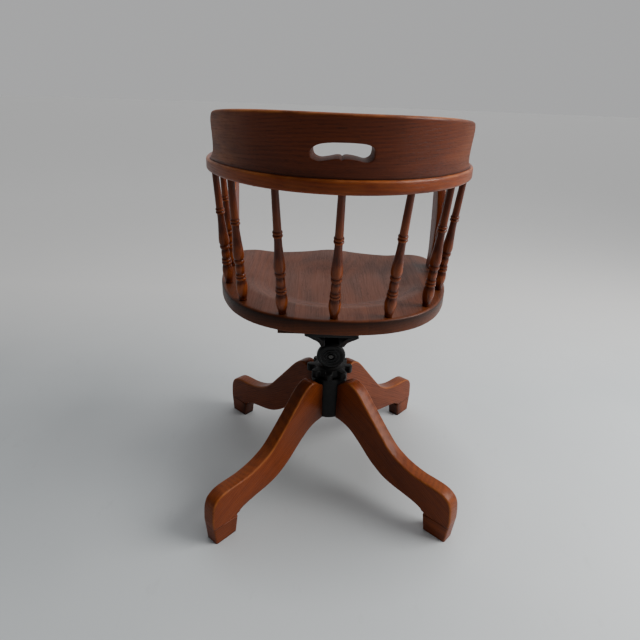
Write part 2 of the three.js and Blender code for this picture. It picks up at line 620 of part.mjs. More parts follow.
// Seat bracket: plate, two flared cheeks, cross wall and bolt boss, one casting
function bracketGeometry() {
  const half = PLATE_WIDTH / 2;
  const bendZ = PIN_Z + FLARE_START_SHARE * BRACKET_HEIGHT;
  const flareZ = PIN_Z + FLARE_BEND_SHARE * BRACKET_HEIGHT;
  const low = PIN_Z - PIN_BOSS_RADIUS;
  const outer = new THREE.QuadraticBezierCurve(
    new THREE.Vector2(CHEEK_OUTER, bendZ),
    new THREE.Vector2(CHEEK_OUTER, flareZ),
    new THREE.Vector2(half - PLATE_SHIFT, PLATE_BOTTOM - SEAT_GAP),
  ).getPoints(8);
  const inner = new THREE.QuadraticBezierCurve(
    new THREE.Vector2(FLARE_FOOT_SHARE * half, PLATE_BOTTOM + SEAT_GAP),
    new THREE.Vector2(CHEEK_GAP / 2, PLATE_BOTTOM),
    new THREE.Vector2(CHEEK_GAP / 2, bendZ),
  ).getPoints(8);
  const side = [
    new THREE.Vector2(CHEEK_GAP / 2, low - OVERRUN),
    new THREE.Vector2(CHEEK_OUTER, low - OVERRUN),
    ...outer,
    new THREE.Vector2(half - PLATE_SHIFT, PLATE_BOTTOM + SEAT_GAP),
    ...inner,
  ];
  const length = PLATE_REAR + PLATE_FRONT;
  const middle = (PLATE_REAR - PLATE_FRONT) / 2;
  const leftCheek = extruded(side, length, 0, 1).rotateX(Math.PI / 2).translate(0, middle, 0);
  const rightSide = side.map((point) => new THREE.Vector2(-point.x, point.y)).reverse();
  const rightCheek = extruded(rightSide, length, 0, 1).rotateX(Math.PI / 2).translate(0, middle, 0);

  const seatRun = BOSS_END - WALL_THICKNESS / 2;
  const profile = [
    boltPoint(seatRun, BOLT_OFFSET - BOSS_RADIUS),
    boltPoint(seatRun, BOLT_OFFSET + BOSS_RADIUS),
    boltPoint(BOSS_END + SEAT_GAP, BOLT_OFFSET + KNOB_RADIUS + OVERRUN + RUN_GAP),
    ...flareRearShares.map(([inset, drop]) => new THREE.Vector2(
      PLATE_REAR - inset * FLARE_INSET, PLATE_BOTTOM - drop * FLARE_DROP_SHARE * BRACKET_HEIGHT,
    )),
    new THREE.Vector2(PLATE_REAR, PLATE_BOTTOM + SEAT_GAP),
    new THREE.Vector2(-PLATE_FRONT, PLATE_BOTTOM + SEAT_GAP),
    new THREE.Vector2(-PLATE_FRONT, PLATE_BOTTOM),
    boltPoint(NUT_FRONT, BOLT_OFFSET + BOSS_RADIUS + OVERRUN),
    boltPoint(NUT_FRONT, BOLT_OFFSET - BOSS_RADIUS),
  ];
  const bossArc = new THREE.EllipseCurve(
    0, PIN_Z, PIN_BOSS_RADIUS, PIN_BOSS_RADIUS, Math.PI, 1.85 * Math.PI, false,
  ).getPoints(12);
  const sideMask = extruded([...profile, ...bossArc], PLATE_WIDTH + 2 * OVERRUN, 0, 1);
  sideMask.rotateX(Math.PI / 2).rotateZ(Math.PI / 2);
  const cheeks = [leftCheek, rightCheek].map((cheek) => overlap(cheek, sideMask));

  const plate = new THREE.Shape();
  const corner = PLATE_CORNER;
  plate.moveTo(-half + corner, -PLATE_FRONT);
  plate.lineTo(half - corner, -PLATE_FRONT);
  plate.absarc(half - corner, -PLATE_FRONT + corner, corner, -Math.PI / 2, 0, false);
  plate.lineTo(half, PLATE_REAR - corner);
  plate.absarc(half - corner, PLATE_REAR - corner, corner, 0, Math.PI / 2, false);
  plate.lineTo(-half + corner, PLATE_REAR);
  plate.absarc(-half + corner, PLATE_REAR - corner, corner, Math.PI / 2, Math.PI, false);
  plate.lineTo(-half, -PLATE_FRONT + corner);
  plate.absarc(-half + corner, -PLATE_FRONT + corner, corner, Math.PI, 1.5 * Math.PI, false);
  const plateSolid = new THREE.ExtrudeGeometry(plate, {
    depth: PLATE_THICKNESS, bevelEnabled: false, curveSegments: 4,
  }).translate(PLATE_SHIFT, 0, PLATE_BOTTOM);

  const wallEnd = WALL_START + WALL_THICKNESS;
  const wallRise = BRACKET_HEIGHT + PLATE_THICKNESS / 2 + wallEnd * Math.sin(BOLT_SLOPE);
  const wall = boltBlock(
    CHEEK_GAP + CHEEK_THICKNESS, WALL_START, wallEnd,
    BOLT_OFFSET - BOSS_RADIUS, wallRise / Math.cos(BOLT_SLOPE),
  );
  const boss = alongBolt(BOSS_RADIUS, wallEnd - SEAT_GAP, BOSS_END, 24);
  const bore = alongBolt(BOLT_RADIUS + SEAT_GAP, WALL_START - OVERRUN, BOSS_END + OVERRUN, 16);
  const pinHole = bar(PIN_RADIUS + SEAT_GAP, PLATE_WIDTH, 16).rotateY(Math.PI / 2).translate(0, 0, PIN_Z);
  const holes = plateScrews.flatMap(([x, y]) => {
    const spotFace = bar(SCREW_HEAD_RADIUS + RUN_GAP, PLATE_SPOT_DEPTH, 12);
    spotFace.translate(x, y, PLATE_BOTTOM - PLATE_SPOT_DEPTH / 2);
    return [woodScrew(PLATE_BOTTOM, SEAT_GAP).translate(x, y, 0), spotFace];
  });
  return cut(join([plateSolid, ...cheeks, wall, boss]), [bore, pinHole, ...holes]);
}

// Screws point up from the underside that their heads bear on; gap widens them into their own holes
function woodScrew(headZ, gap) {
  const top = SEAT_BOTTOM + SCREW_BITE + gap;
  const radius = SCREW_SHANK_RADIUS + gap;
  if (gap > 0) {
    return bar(radius, top - headZ + OVERRUN, 8).translate(0, 0, (top + headZ - OVERRUN) / 2);
  }
  return turned([
    [0, headZ - SCREW_HEAD_HEIGHT],
    [SCREW_HEAD_RADIUS / 2, headZ - SCREW_HEAD_HEIGHT],
    [SCREW_HEAD_RADIUS, headZ - SCREW_HEAD_HEIGHT / 2],
    [SCREW_HEAD_RADIUS, headZ - SEAT_GAP],
    [radius, headZ - SEAT_GAP],
    [radius, top],
    [0, top],
  ], 8);
}

const rearScrewY = PLATE_REAR - PLATE_SCREW_INSET - SCREW_HEAD_RADIUS;
const frontScrewY = -PLATE_FRONT + PLATE_SCREW_INSET + SCREW_HEAD_RADIUS;
const plateScrewX = PLATE_WIDTH / 2 - PLATE_SCREW_INSET;
const plateScrews = [
  [PLATE_SHIFT + plateScrewX, rearScrewY], [PLATE_SHIFT - plateScrewX, rearScrewY],
  [PLATE_SHIFT + plateScrewX, frontScrewY], [PLATE_SHIFT - plateScrewX, frontScrewY],
];
const rearBattenY = PLATE_REAR + BATTEN_REAR_SETBACK - BATTEN_WIDTH / 2;
const frontBattenY = -PLATE_FRONT - BATTEN_FRONT_SETBACK + BATTEN_WIDTH / 2;
const rearBattenLeft = BATTEN_LENGTH / 2;
const battenScrews = [
  [rearBattenLeft - BATTEN_SCREW_INSET, rearBattenY],
  [PLATE_SHIFT + PLATE_WIDTH / 2 + 2 * SCREW_HEAD_RADIUS, rearBattenY],
  [BATTEN_LENGTH / 2 - BATTEN_SCREW_INSET, frontBattenY],
  [-BATTEN_LENGTH / 2 + BATTEN_SCREW_INSET, frontBattenY],
];

add(chair, "seat_bracket", bracketGeometry(), finish.iron);
plateScrews.forEach(([x, y], index) => {
  const screw = add(chair, `plate_screw_${index + 1}`, woodScrew(PLATE_BOTTOM, 0), finish.steel);
  screw.position.set(x, y, 0);
});
battenScrews.forEach(([x, y], index) => {
  const screw = add(chair, `batten_screw_${index + 1}`, woodScrew(BATTEN_BOTTOM, 0), finish.steel);
  screw.position.set(x, y, 0);
});

function battenGeometry(left, right, y) {
  const middleZ = (BATTEN_BOTTOM + SEAT_BOTTOM) / 2;
  const board = block(
    left - right, BATTEN_WIDTH, BATTEN_THICKNESS - 2 * SEAT_GAP, (left + right) / 2, y, middleZ,
  );
  return cut(board, screwHoles());
}

function screwHoles() {
  return [...plateScrews, ...battenScrews].map(([x, y]) =>
    woodScrew(PLATE_BOTTOM, SEAT_GAP).translate(x, y, 0));
}

const battenHalf = BATTEN_LENGTH / 2;
add(chair, "batten_rear", battenGeometry(rearBattenLeft, -BATTEN_REAR_RIGHT, rearBattenY), finish.oakRaw);
add(chair, "batten_front", battenGeometry(battenHalf, -battenHalf, frontBattenY), finish.oakRaw);

// Tilt pin with its collar
const pinLeft = CHEEK_OUTER + SEAT_GAP;
const pinRight = CHEEK_OUTER + PIN_COLLAR_WIDTH + PIN_HEAD_THICKNESS;
const tiltPin = turned([
  [0, -pinRight],
  [PIN_RADIUS, -pinRight],
  [PIN_RADIUS, pinLeft],
  [PIN_HEAD_RADIUS, pinLeft],
  [PIN_HEAD_RADIUS, pinLeft + PIN_HEAD_THICKNESS],
  [0, pinLeft + PIN_HEAD_THICKNESS],
], 16).rotateY(Math.PI / 2).translate(0, 0, PIN_Z);
add(chair, "tilt_pin", tiltPin, finish.steel);
const collarStart = CHEEK_OUTER + SEAT_GAP;
add(chair, "tilt_pin_collar", turned([
  [PIN_RADIUS + SEAT_GAP, -collarStart - PIN_COLLAR_WIDTH],
  [PIN_HEAD_RADIUS, -collarStart - PIN_COLLAR_WIDTH],
  [PIN_HEAD_RADIUS, -collarStart],
  [PIN_RADIUS + SEAT_GAP, -collarStart],
  [PIN_RADIUS + SEAT_GAP, -collarStart - PIN_COLLAR_WIDTH],
], 16).rotateY(Math.PI / 2).translate(0, 0, PIN_Z), finish.iron);

// Tension bolt, knob, square nut, washer and spring
add(chair, "tension_bolt", alongBolt(BOLT_RADIUS, BOLT_FRONT, BOLT_REAR, 16), finish.steel);

function knobGeometry() {
  const bore = BOLT_RADIUS + SEAT_GAP;
  const rimInner = KNOB_RADIUS - KNOB_RIM_WIDTH;
  const face = KNOB_END - KNOB_RIM_HEIGHT;
  const eye = KNOB_RECESS_RADIUS + KNOB_EYE_WIDTH;
  const profile = [
    [bore, KNOB_START],
    [KNOB_RADIUS - KNOB_EDGE, KNOB_START],
    [KNOB_RADIUS, KNOB_START + KNOB_EDGE],
    [KNOB_RADIUS, KNOB_END - KNOB_EDGE],
    [KNOB_RADIUS - KNOB_EDGE, KNOB_END],
    [rimInner + KNOB_RIM_HEIGHT / 2, KNOB_END],
    [rimInner, face],
    [eye + KNOB_RIM_HEIGHT, face],
    [eye, KNOB_END],
    [KNOB_RECESS_RADIUS, KNOB_END],
    [KNOB_RECESS_RADIUS, KNOB_END - KNOB_RECESS_DEPTH],
    [bore, KNOB_END - KNOB_RECESS_DEPTH],
    [bore, KNOB_START],
  ];
  return onBolt(turned(profile, 24));
}

add(chair, "tension_knob", knobGeometry(), finish.iron);
const nutWidth = CHEEK_GAP - 2 * RUN_GAP;
const squareNut = boltBlock(
  nutWidth, NUT_FRONT, NUT_REAR, BOLT_OFFSET - BOSS_RADIUS + SEAT_GAP, BOLT_OFFSET + BOSS_RADIUS - SEAT_GAP,
);
const nutBore = alongBolt(BOLT_RADIUS + SEAT_GAP, NUT_FRONT - OVERRUN, NUT_REAR + OVERRUN, 16);
add(chair, "square_nut", cut(squareNut, [nutBore]), finish.iron);
const washerRear = UPRIGHT_START - SEAT_GAP;
add(chair, "spring_washer", onBolt(turned([
  [SPRING_WASHER_HOLE, washerRear - SPRING_WASHER_THICKNESS],
  [SPRING_WASHER_RADIUS, washerRear - SPRING_WASHER_THICKNESS],
  [SPRING_WASHER_RADIUS, washerRear],
  [SPRING_WASHER_HOLE, washerRear],
  [SPRING_WASHER_HOLE, washerRear - SPRING_WASHER_THICKNESS],
], 16)), finish.steel);

class Helix extends THREE.Curve {
  getPoint(share, target = new THREE.Vector3()) {
    const angle = share * SPRING_TURNS * 2 * Math.PI;
    const rise = SPRING_LENGTH - 2 * SPRING_WIRE_RADIUS;
    return target.set(
      SPRING_RADIUS * Math.cos(angle),
      SPRING_RADIUS * Math.sin(angle),
      SPRING_FRONT + SPRING_WIRE_RADIUS + share * rise,
    );
  }
}

function leastTurnGap(curve, turns, steps, radius) {
  let least = Infinity;
  for (let index = 0; index + steps <= turns * steps; index += 1) {
    const here = curve.getPoint(index / (turns * steps));
    const next = curve.getPoint((index + steps) / (turns * steps));
    least = Math.min(least, here.distanceTo(next) - 2 * radius);
  }
  return least;
}

const helix = new Helix();
const wireSection = new THREE.Shape(new THREE.EllipseCurve(
  0, 0, SPRING_WIRE_RADIUS, SPRING_WIRE_RADIUS, 0, 2 * Math.PI, false,
).getPoints(SPRING_SIDES).slice(0, SPRING_SIDES));
const springTube = new THREE.ExtrudeGeometry(wireSection, {
  steps: SPRING_TURNS * SPRING_STEPS_PER_TURN, extrudePath: helix, bevelEnabled: false,
});
add(chair, "tension_spring", onBolt(springTube), finish.steel);
const springGap = leastTurnGap(helix, SPRING_TURNS, SPRING_STEPS_PER_TURN, SPRING_WIRE_RADIUS);
console.log(`tension_spring: least gap between turns ${springGap.toFixed(2)} mm`);

// Plan outlines of the seat and the bow, mirrored about the middle
function planPoint([shareX, shareY], halfWidth, rear, front) {
  return new THREE.Vector2(shareX * halfWidth, shareY * (shareY < 0 ? front : rear));
}

function mirrored(points) {
  const left = points.slice(1, -1).map((point) => new THREE.Vector2(-point.x, point.y)).reverse();
  return [...points, ...left];
}

function closedOutline(points, count) {
  const loop = points.map((point) => new THREE.Vector3(point.x, point.y, 0));
  return new THREE.CatmullRomCurve3(loop, true, "centripetal").getPoints(count).slice(0, count);
}

const seatPlan = closedOutline(
  mirrored(seatShares.map((share) => planPoint(share, SEAT_HALF_WIDTH, SEAT_REAR, SEAT_FRONT))), 52,
);

// The saddle: a dish that runs out at the front on both sides of a raised pommel
function dishDepth(x, y) {
  const behind = Math.max(y + DISH_CENTRE, 0) / (DISH_REAR + DISH_CENTRE);
  const reach = Math.hypot(x / DISH_HALF_WIDTH, behind);
  const bowl = smoothstep(0, 0.2, 1 - reach);
  const runOut = 1 - 0.6 * smoothstep(0.35 * SEAT_FRONT, SEAT_FRONT, -y);
  const ridge = Math.exp(-((x / POMMEL_HALF_WIDTH) ** 2)) * smoothstep(0.2 * SEAT_FRONT, 0.9 * SEAT_FRONT, -y);
  return DISH_DEPTH * bowl * runOut * (1 - ridge);
}

function seatSolid() {
  const count = seatPlan.length;
  const edge = (1 - SEAT_EDGE / SEAT_HALF_WIDTH);
  const rings = [
    ...[0.25, 0.5, 0.66, 0.76, 0.85, 0.92].map((share) => [share, 0]),
    [edge, 0], [edge + 0.7 * (1 - edge), 0.3 * SEAT_EDGE], [1, SEAT_EDGE],
    [1, SEAT_THICKNESS - SEAT_EDGE], [edge, SEAT_THICKNESS],
  ];
  const positions = [0, 0, SEAT_TOP - dishDepth(0, 0)];
  for (const [share, drop] of rings) {
    for (const point of seatPlan) {
      const x = point.x * share;
      const y = point.y * share;
      const z = drop === SEAT_THICKNESS ? SEAT_BOTTOM : SEAT_TOP - drop - (drop > SEAT_EDGE ? 0 : dishDepth(x, y));
      positions.push(x, y, z);
    }
  }
  positions.push(0, 0, SEAT_BOTTOM);
  const lastCentre = positions.length / 3 - 1;
  const index = [];
  for (let i = 0; i < count; i += 1) {
    const next = (i + 1) % count;
    index.push(0, 1 + next, 1 + i);
    for (let ring = 0; ring + 1 < rings.length; ring += 1) {
      const inner = 1 + ring * count;
      const outer = inner + count;
      index.push(inner + i, inner + next, outer + i);
      index.push(inner + next, outer + next, outer + i);
    }
    const last = 1 + (rings.length - 1) * count;
    index.push(last + i, last + next, lastCentre);
  }
  const geometry = new THREE.BufferGeometry();
  geometry.setAttribute("position", new THREE.Float32BufferAttribute(positions, 3));
  geometry.setIndex(index);
  return geometry;
}

// Spindles: straight ends run on into sockets in the seat and the bow
function spindleEnds(index, side) {
  const foot = planPoint(spindleFootShares[index], SEAT_HALF_WIDTH, SEAT_REAR, SEAT_FRONT);
  const head = planPoint(spindleHeadShares[index], BOW_HALF_WIDTH, BOW_REAR, ARM_FRONT);
  const shift = index === 0 ? CENTRE_SPINDLE_OFFSET : 0;
  return [
    new THREE.Vector3(side * foot.x + shift, foot.y, SEAT_TOP),
    new THREE.Vector3(side * head.x + shift, head.y, BOW_BOTTOM),
  ];
}

function alignSpindle(geometry, [foot, head]) {
  const direction = head.clone().sub(foot).normalize();
  const turn = new THREE.Quaternion().setFromUnitVectors(new THREE.Vector3(0, 0, 1), direction);
  return geometry.applyQuaternion(turn).translate(foot.x, foot.y, foot.z);
}

function spindleGeometry(ends) {
  const length = ends[0].distanceTo(ends[1]);
  const profile = turningShares.map(([down, share]) => [share * SPINDLE_RADIUS, (1 - down) * length]).reverse();
  const footRadius = profile[0][0];
  const headRadius = profile[profile.length - 1][0];
  return alignSpindle(turned([
    [0, -SPINDLE_SOCKET],
    [footRadius, -SPINDLE_SOCKET],
    ...profile,
    [headRadius, length + SPINDLE_SOCKET],
    [0, length + SPINDLE_SOCKET],
  ], SPINDLE_SIDES), ends);
}

function socketTool(ends, atFoot) {
  const length = ends[0].distanceTo(ends[1]);
  const [shareList] = atFoot ? turningShares.slice(-1) : turningShares;
  const radius = shareList[1] * SPINDLE_RADIUS + SEAT_GAP;
  const depth = SPINDLE_SOCKET + SEAT_GAP;
  const start = atFoot ? -depth : length - OVERRUN;
  const end = atFoot ? OVERRUN : length + depth;
  return alignSpindle(bar(radius, end - start, SPINDLE_SIDES).translate(0, 0, (start + end) / 2), ends);
}

const spindles = [];
spindleNames.forEach((name, index) => {
  for (const [side, word] of index === 0 ? [[1, ""]] : [[1, "_left"], [-1, "_right"]]) {
    spindles.push({ name: `spindle_${name}${word}`, ends: spindleEnds(index, side) });
  }
});

// Arm supports: flat cyma boards at the front, tenoned into the seat and the arms
function supportGeometry(side) {
  const half = SUPPORT_FOOT / 2;
  const place = ([share, across]) => new THREE.Vector2(
    SUPPORT_FOOT_CENTRE + across * half, SEAT_TOP + share * SPINDLE_HEIGHT,
  );
  const rear = smooth(supportRearShares.map(place), 14);
  const front = smooth(supportFrontShares.map(place), 14);
  const board = extruded([...rear, ...front], SUPPORT_THICKNESS, SUPPORT_EDGE, 1);
  board.rotateX(Math.PI / 2).rotateZ(Math.PI / 2);
  const trim = SEAT_GAP / 2;
  const room = block(
    2 * SUPPORT_THICKNESS, 4 * SUPPORT_FOOT, SPINDLE_HEIGHT - 2 * trim,
    0, SUPPORT_FOOT_CENTRE, SEAT_TOP + SPINDLE_HEIGHT / 2,
  );
  const tenons = [true, false].map((atFoot) => supportTenon(atFoot, 0));
  const solid = join([overlap(board, room), ...tenons]);
  return solid.translate(side * SUPPORT_MIDDLE + SUPPORT_SHIFT, 0, 0);
}

function supportTenon(atFoot, gap) {
  const width = (atFoot ? SUPPORT_FOOT : SUPPORT_TOP) / 2;
  const centre = atFoot ? SUPPORT_FOOT_CENTRE : SUPPORT_TOP_CENTRE;
  const face = atFoot ? SEAT_TOP : BOW_BOTTOM;
  const inward = atFoot ? -1 : 1;
  const length = SUPPORT_TENON_LENGTH + SUPPORT_THICKNESS / 2 + gap;
  const middle = face + inward * (SUPPORT_TENON_LENGTH + gap - length / 2);
  return block(SUPPORT_TENON_THICKNESS + 2 * gap, width + 2 * gap, length, 0, centre, middle);
}

function supportMortises(atFoot) {
  return [1, -1].map((side) => (
    supportTenon(atFoot, SEAT_GAP).translate(side * SUPPORT_MIDDLE + SUPPORT_SHIFT, 0, 0)
  ));
}

const seatTools = [
  ...spindles.map(({ ends }) => socketTool(ends, true)), ...supportMortises(true), ...screwHoles(),
];
add(chair, "seat", cut(seatSolid(), seatTools), finish.oakSeat);
for (const { name, ends } of spindles) {
  add(chair, name, spindleGeometry(ends), finish.oakDark);
}
add(chair, "arm_support_left", supportGeometry(1), finish.oakDark);
add(chair, "arm_support_right", supportGeometry(-1), finish.oakDark);

// Arm bow: one flat horseshoe with rounded edges
const bowOuter = bowOuterShares.map((share) => planPoint(share, BOW_HALF_WIDTH, BOW_REAR, ARM_FRONT));
const armEnd = armEndShares.map((share) => planPoint(share, BOW_HALF_WIDTH, BOW_REAR, ARM_FRONT));
const bowInner = bowInnerShares.map((share) => planPoint(share, BOW_HALF_WIDTH, BOW_REAR, ARM_FRONT));

function bowGeometry() {
  const leftHalf = [...bowOuter, ...armEnd, ...bowInner];
  const rightHalf = leftHalf.slice(1, -1).map((point) => new THREE.Vector2(-point.x, point.y)).reverse();
  const outline = closedOutline([...leftHalf, ...rightHalf], 88).map((p) => new THREE.Vector2(p.x, p.y));
  const slab = extruded(outline.reverse(), BOW_THICKNESS, BOW_EDGE, 2);
  slab.translate(0, 0, BOW_BOTTOM + BOW_THICKNESS / 2);
  const tools = [
    ...spindles.map(({ ends }) => socketTool(ends, false)), ...supportMortises(false),
    ...crestScrewPlaces().map(([x, y]) => crestScrew(SEAT_GAP).translate(x, y, 0)),
  ];
  return cut(slab, tools);
}

// Crest rail: a bent board that stands on the bow, leans back and flares out along it at both feet
const crestLine = new THREE.SplineCurve([
  ...bowOuter.slice(1).map((point) => new THREE.Vector2(-point.x, point.y)).reverse(), ...bowOuter,
]);
const crestLineLength = crestLine.getLength();

function crestPoint(run, height, offset) {
  const share = 0.5 + (run + CREST_SHIFT) / crestLineLength;
  const here = crestLine.getPointAt(share);
  const along = crestLine.getTangentAt(share);
  const inward = new THREE.Vector2(along.y, -along.x);
  const inset = CREST_SETBACK + CREST_THICKNESS / 2 - offset;
  return [
    here.x + inward.x * inset,
    here.y + inward.y * inset + height * Math.tan(CREST_LEAN),
    BOW_TOP + SEAT_GAP + height,
  ];
}

function crestSolid() {
  const columns = [];
  for (let step = 0; step <= 11; step += 1) {
    columns.push([(0.86 * step) / 11, 1]);
  }
  columns.push(...crestEndShares);
  const mirroredColumns = columns.slice(1).map(([share, thick]) => [-share, thick]).reverse();
  const across = [...mirroredColumns, ...columns];
  const positions = [];
  for (const face of [1, -1]) {
    for (const [heightShare, flareShare, thick] of crestShares) {
      for (const [runShare, endThick] of across) {
        const reach = CREST_HALF_RUN + flareShare * CREST_FLARE;
        const drop = CREST_END_DROP * Math.abs(runShare) ** 3 - CREST_TILT * runShare;
        const half = (CREST_THICKNESS / 2) * thick * endThick;
        positions.push(...crestPoint(runShare * reach, heightShare * (CREST_HEIGHT - drop), face * half));
      }
    }
  }
  const wide = across.length;
  const tall = crestShares.length;
  const at = (face, row, column) => face * wide * tall + row * wide + column;
  const index = [];
  for (let row = 0; row + 1 < tall; row += 1) {
    for (let column = 0; column + 1 < wide; column += 1) {
      const [a, b] = [at(0, row, column), at(0, row, column + 1)];
      const [c, d] = [at(0, row + 1, column), at(0, row + 1, column + 1)];
      index.push(a, c, b, b, c, d);
      const shift = wide * tall;
      index.push(a + shift, b + shift, c + shift, b + shift, d + shift, c + shift);
    }
  }
  for (let column = 0; column + 1 < wide; column += 1) {
    index.push(at(0, 0, column), at(0, 0, column + 1), at(1, 0, column));
    index.push(at(0, 0, column + 1), at(1, 0, column + 1), at(1, 0, column));
    index.push(at(0, tall - 1, column), at(1, tall - 1, column), at(0, tall - 1, column + 1));
    index.push(at(0, tall - 1, column + 1), at(1, tall - 1, column), at(1, tall - 1, column + 1));
  }
  for (let row = 0; row + 1 < tall; row += 1) {
    index.push(at(0, row, 0), at(1, row, 0), at(0, row + 1, 0));
    index.push(at(0, row + 1, 0), at(1, row, 0), at(1, row + 1, 0));
    index.push(at(0, row, wide - 1), at(0, row + 1, wide - 1), at(1, row, wide - 1));
    index.push(at(0, row + 1, wide - 1), at(1, row + 1, wide - 1), at(1, row, wide - 1));
  }
  const geometry = new THREE.BufferGeometry();
  geometry.setAttribute("position", new THREE.Float32BufferAttribute(positions, 3));
  geometry.setIndex(index);
  return geometry;
}

function slotTool() {
  const points = slotShares.map(([x, z]) => new THREE.Vector3(x * SLOT_HALF_LENGTH, z * SLOT_HEIGHT, 0));
  const outline = new THREE.CatmullRomCurve3(points, true, "centripetal").getPoints(40).slice(0, 40);
  const flat = outline.map((point) => new THREE.Vector2(point.x, point.y));
  const tool = extruded(flat.reverse(), 4 * CREST_THICKNESS, 0, 1).rotateX(Math.PI / 2 - CREST_LEAN);
  const middle = crestPoint(0, SLOT_FLOOR, 0);
  return tool.translate(SLOT_OFFSET, middle[1], middle[2]);
}

// Screws that hold the crest, driven up through the bow
function crestScrewPlaces() {
  return [1, -1].map((side) => {
    const [x, y] = crestPoint(side * CREST_SCREW_SPREAD, 0, 0);
    return [x, y];
  });
}

function crestScrew(gap) {
  const top = BOW_TOP + SCREW_BITE + gap;
  const radius = SCREW_SHANK_RADIUS + gap;
  const headZ = BOW_BOTTOM;
  if (gap > 0) {
    return bar(radius, top - headZ + OVERRUN, 8).translate(0, 0, (top + headZ - OVERRUN) / 2);
  }
  return turned([
    [0, headZ - SCREW_HEAD_HEIGHT],
    [SCREW_HEAD_RADIUS / 2, headZ - SCREW_HEAD_HEIGHT],
    [SCREW_HEAD_RADIUS, headZ - SCREW_HEAD_HEIGHT / 2],
    [SCREW_HEAD_RADIUS, headZ - SEAT_GAP],
    [radius, headZ - SEAT_GAP],
    [radius, top],
    [0, top],
  ], 8);
}

add(chair, "arm_bow", bowGeometry(), finish.oakDark);
add(chair, "crest_rail", cut(crestSolid(), [
  slotTool(), ...crestScrewPlaces().map(([x, y]) => crestScrew(SEAT_GAP).translate(x, y, 0)),
]), finish.oakDark);
crestScrewPlaces().forEach(([x, y], index) => {
  const screw = add(chair, `crest_screw_${index + 1}`, crestScrew(0), finish.steel);
  screw.position.set(x, y, 0);
});

// The origin is under the middle of the whole chair, on the floor
chair.updateMatrixWorld(true);
const middle = new THREE.Box3().setFromObject(chair, true).getCenter(new THREE.Vector3());
chair.position.set(-middle.x, -middle.y, 0);

export default chair;
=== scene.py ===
import json
import math

import bmesh
import bpy
import numpy as np
from mathutils import Matrix, Vector


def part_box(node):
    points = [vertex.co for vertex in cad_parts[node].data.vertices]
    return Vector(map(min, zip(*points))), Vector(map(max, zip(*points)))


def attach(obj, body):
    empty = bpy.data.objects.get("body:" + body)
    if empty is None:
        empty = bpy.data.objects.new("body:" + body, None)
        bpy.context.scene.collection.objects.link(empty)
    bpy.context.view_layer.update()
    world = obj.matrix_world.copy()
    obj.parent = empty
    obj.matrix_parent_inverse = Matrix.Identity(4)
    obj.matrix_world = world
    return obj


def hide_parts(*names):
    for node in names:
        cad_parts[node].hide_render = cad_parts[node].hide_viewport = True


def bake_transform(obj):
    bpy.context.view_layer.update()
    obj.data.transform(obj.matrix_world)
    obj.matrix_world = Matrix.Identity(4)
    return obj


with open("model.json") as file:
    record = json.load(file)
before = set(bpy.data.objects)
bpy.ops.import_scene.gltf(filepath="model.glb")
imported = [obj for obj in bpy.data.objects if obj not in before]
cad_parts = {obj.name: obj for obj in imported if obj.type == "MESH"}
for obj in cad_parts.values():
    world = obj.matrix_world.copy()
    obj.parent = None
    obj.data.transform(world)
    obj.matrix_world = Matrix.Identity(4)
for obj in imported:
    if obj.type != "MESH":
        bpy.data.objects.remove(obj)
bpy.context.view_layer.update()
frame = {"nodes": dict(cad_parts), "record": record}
rng = np.random.default_rng(7)

# Places taken from the frame, in metres: the column's axis and the heights that the wooden parts share
screw_low, screw_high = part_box("screw_column")
AXIS_Y = (screw_low.y + screw_high.y) / 2
SEAT_BOTTOM, SEAT_TOP = (corner.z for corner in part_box("seat"))
BOW_BOTTOM, BOW_TOP = (corner.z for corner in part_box("arm_bow"))
CREST_BOTTOM, CREST_TOP = (corner.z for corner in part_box("crest_rail"))
CREST_HEIGHT = CREST_TOP - CREST_BOTTOM
WHEEL_BOTTOM, WHEEL_TOP = (corner.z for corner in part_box("star_wheel"))
FOOT_BLOCK_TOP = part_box("foot_block_rear_left")[1].z

# Sizes of the part's source, in metres. A plan is a half width and the reach to the rear and the front
BASE_TURN = math.radians(2.6)
LEG_REACH = 0.3545
LEG_HEIGHT = 0.27
LEG_THICKNESS = 0.032
LEG_EDGE = 0.0042
TOE_DROP = 0.007
NOTCH_RADIUS = 0.0035
HUB_RADIUS = 0.0413
SEAT_FRONT = 0.262
SEAT_PLAN = (0.249, 0.2005, SEAT_FRONT)
SEAT_EDGE = 0.0045
DISH_DEPTH = 0.013
DISH_HALF_WIDTH = 0.197
DISH_REAR = 0.136
DISH_CENTRE = 0.04
POMMEL_HALF_WIDTH = 0.05
BOW_PLAN = (0.257, 0.2816, 0.238)
BOW_EDGE = 0.005
SPINDLE_RADIUS = 0.0112
SPINDLE_SET = 0.003
CENTRE_SPINDLE_OFFSET = 0.003
SUPPORT_THICKNESS = 0.018
SUPPORT_MIDDLE = 0.2345
SUPPORT_SHIFT = -0.003
SUPPORT_EDGE = 0.0025
SUPPORT_HALF_FOOT = 0.02
SUPPORT_FOOT_CENTRE = -0.139
CREST_THICKNESS = 0.021
CREST_SETBACK = 0.004
CREST_HALF_RUN = 0.293
CREST_SHIFT = 0.004
CREST_FLARE = 0.046
CREST_END_DROP = 0.0065
CREST_END_EDGE = 0.025
CREST_TILT = 0.0015
CREST_LEAN = math.radians(16)
CREST_EDGE = 0.006
SLOT_HALF_LENGTH = 0.0475
SLOT_FLOOR = 0.027
SLOT_HEIGHT = 0.0272
SLOT_OFFSET = 0.0023
SLOT_EDGE = 0.0013
WHEEL_RADIUS = 0.052
WHEEL_BODY_RADIUS = 0.035
WHEEL_LOBE_RADIUS = 0.0085
WHEEL_BORE = 0.013
WHEEL_EDGE = 0.002
WHEEL_LOBES = 8
WHEEL_TURN = math.radians(42)
PIN_Z = 0.316
BOLT_SLOPE = math.radians(12)
BOLT_OFFSET = 0.0275
BOLT_RADIUS = 0.005
BOLT_PITCH = 0.002
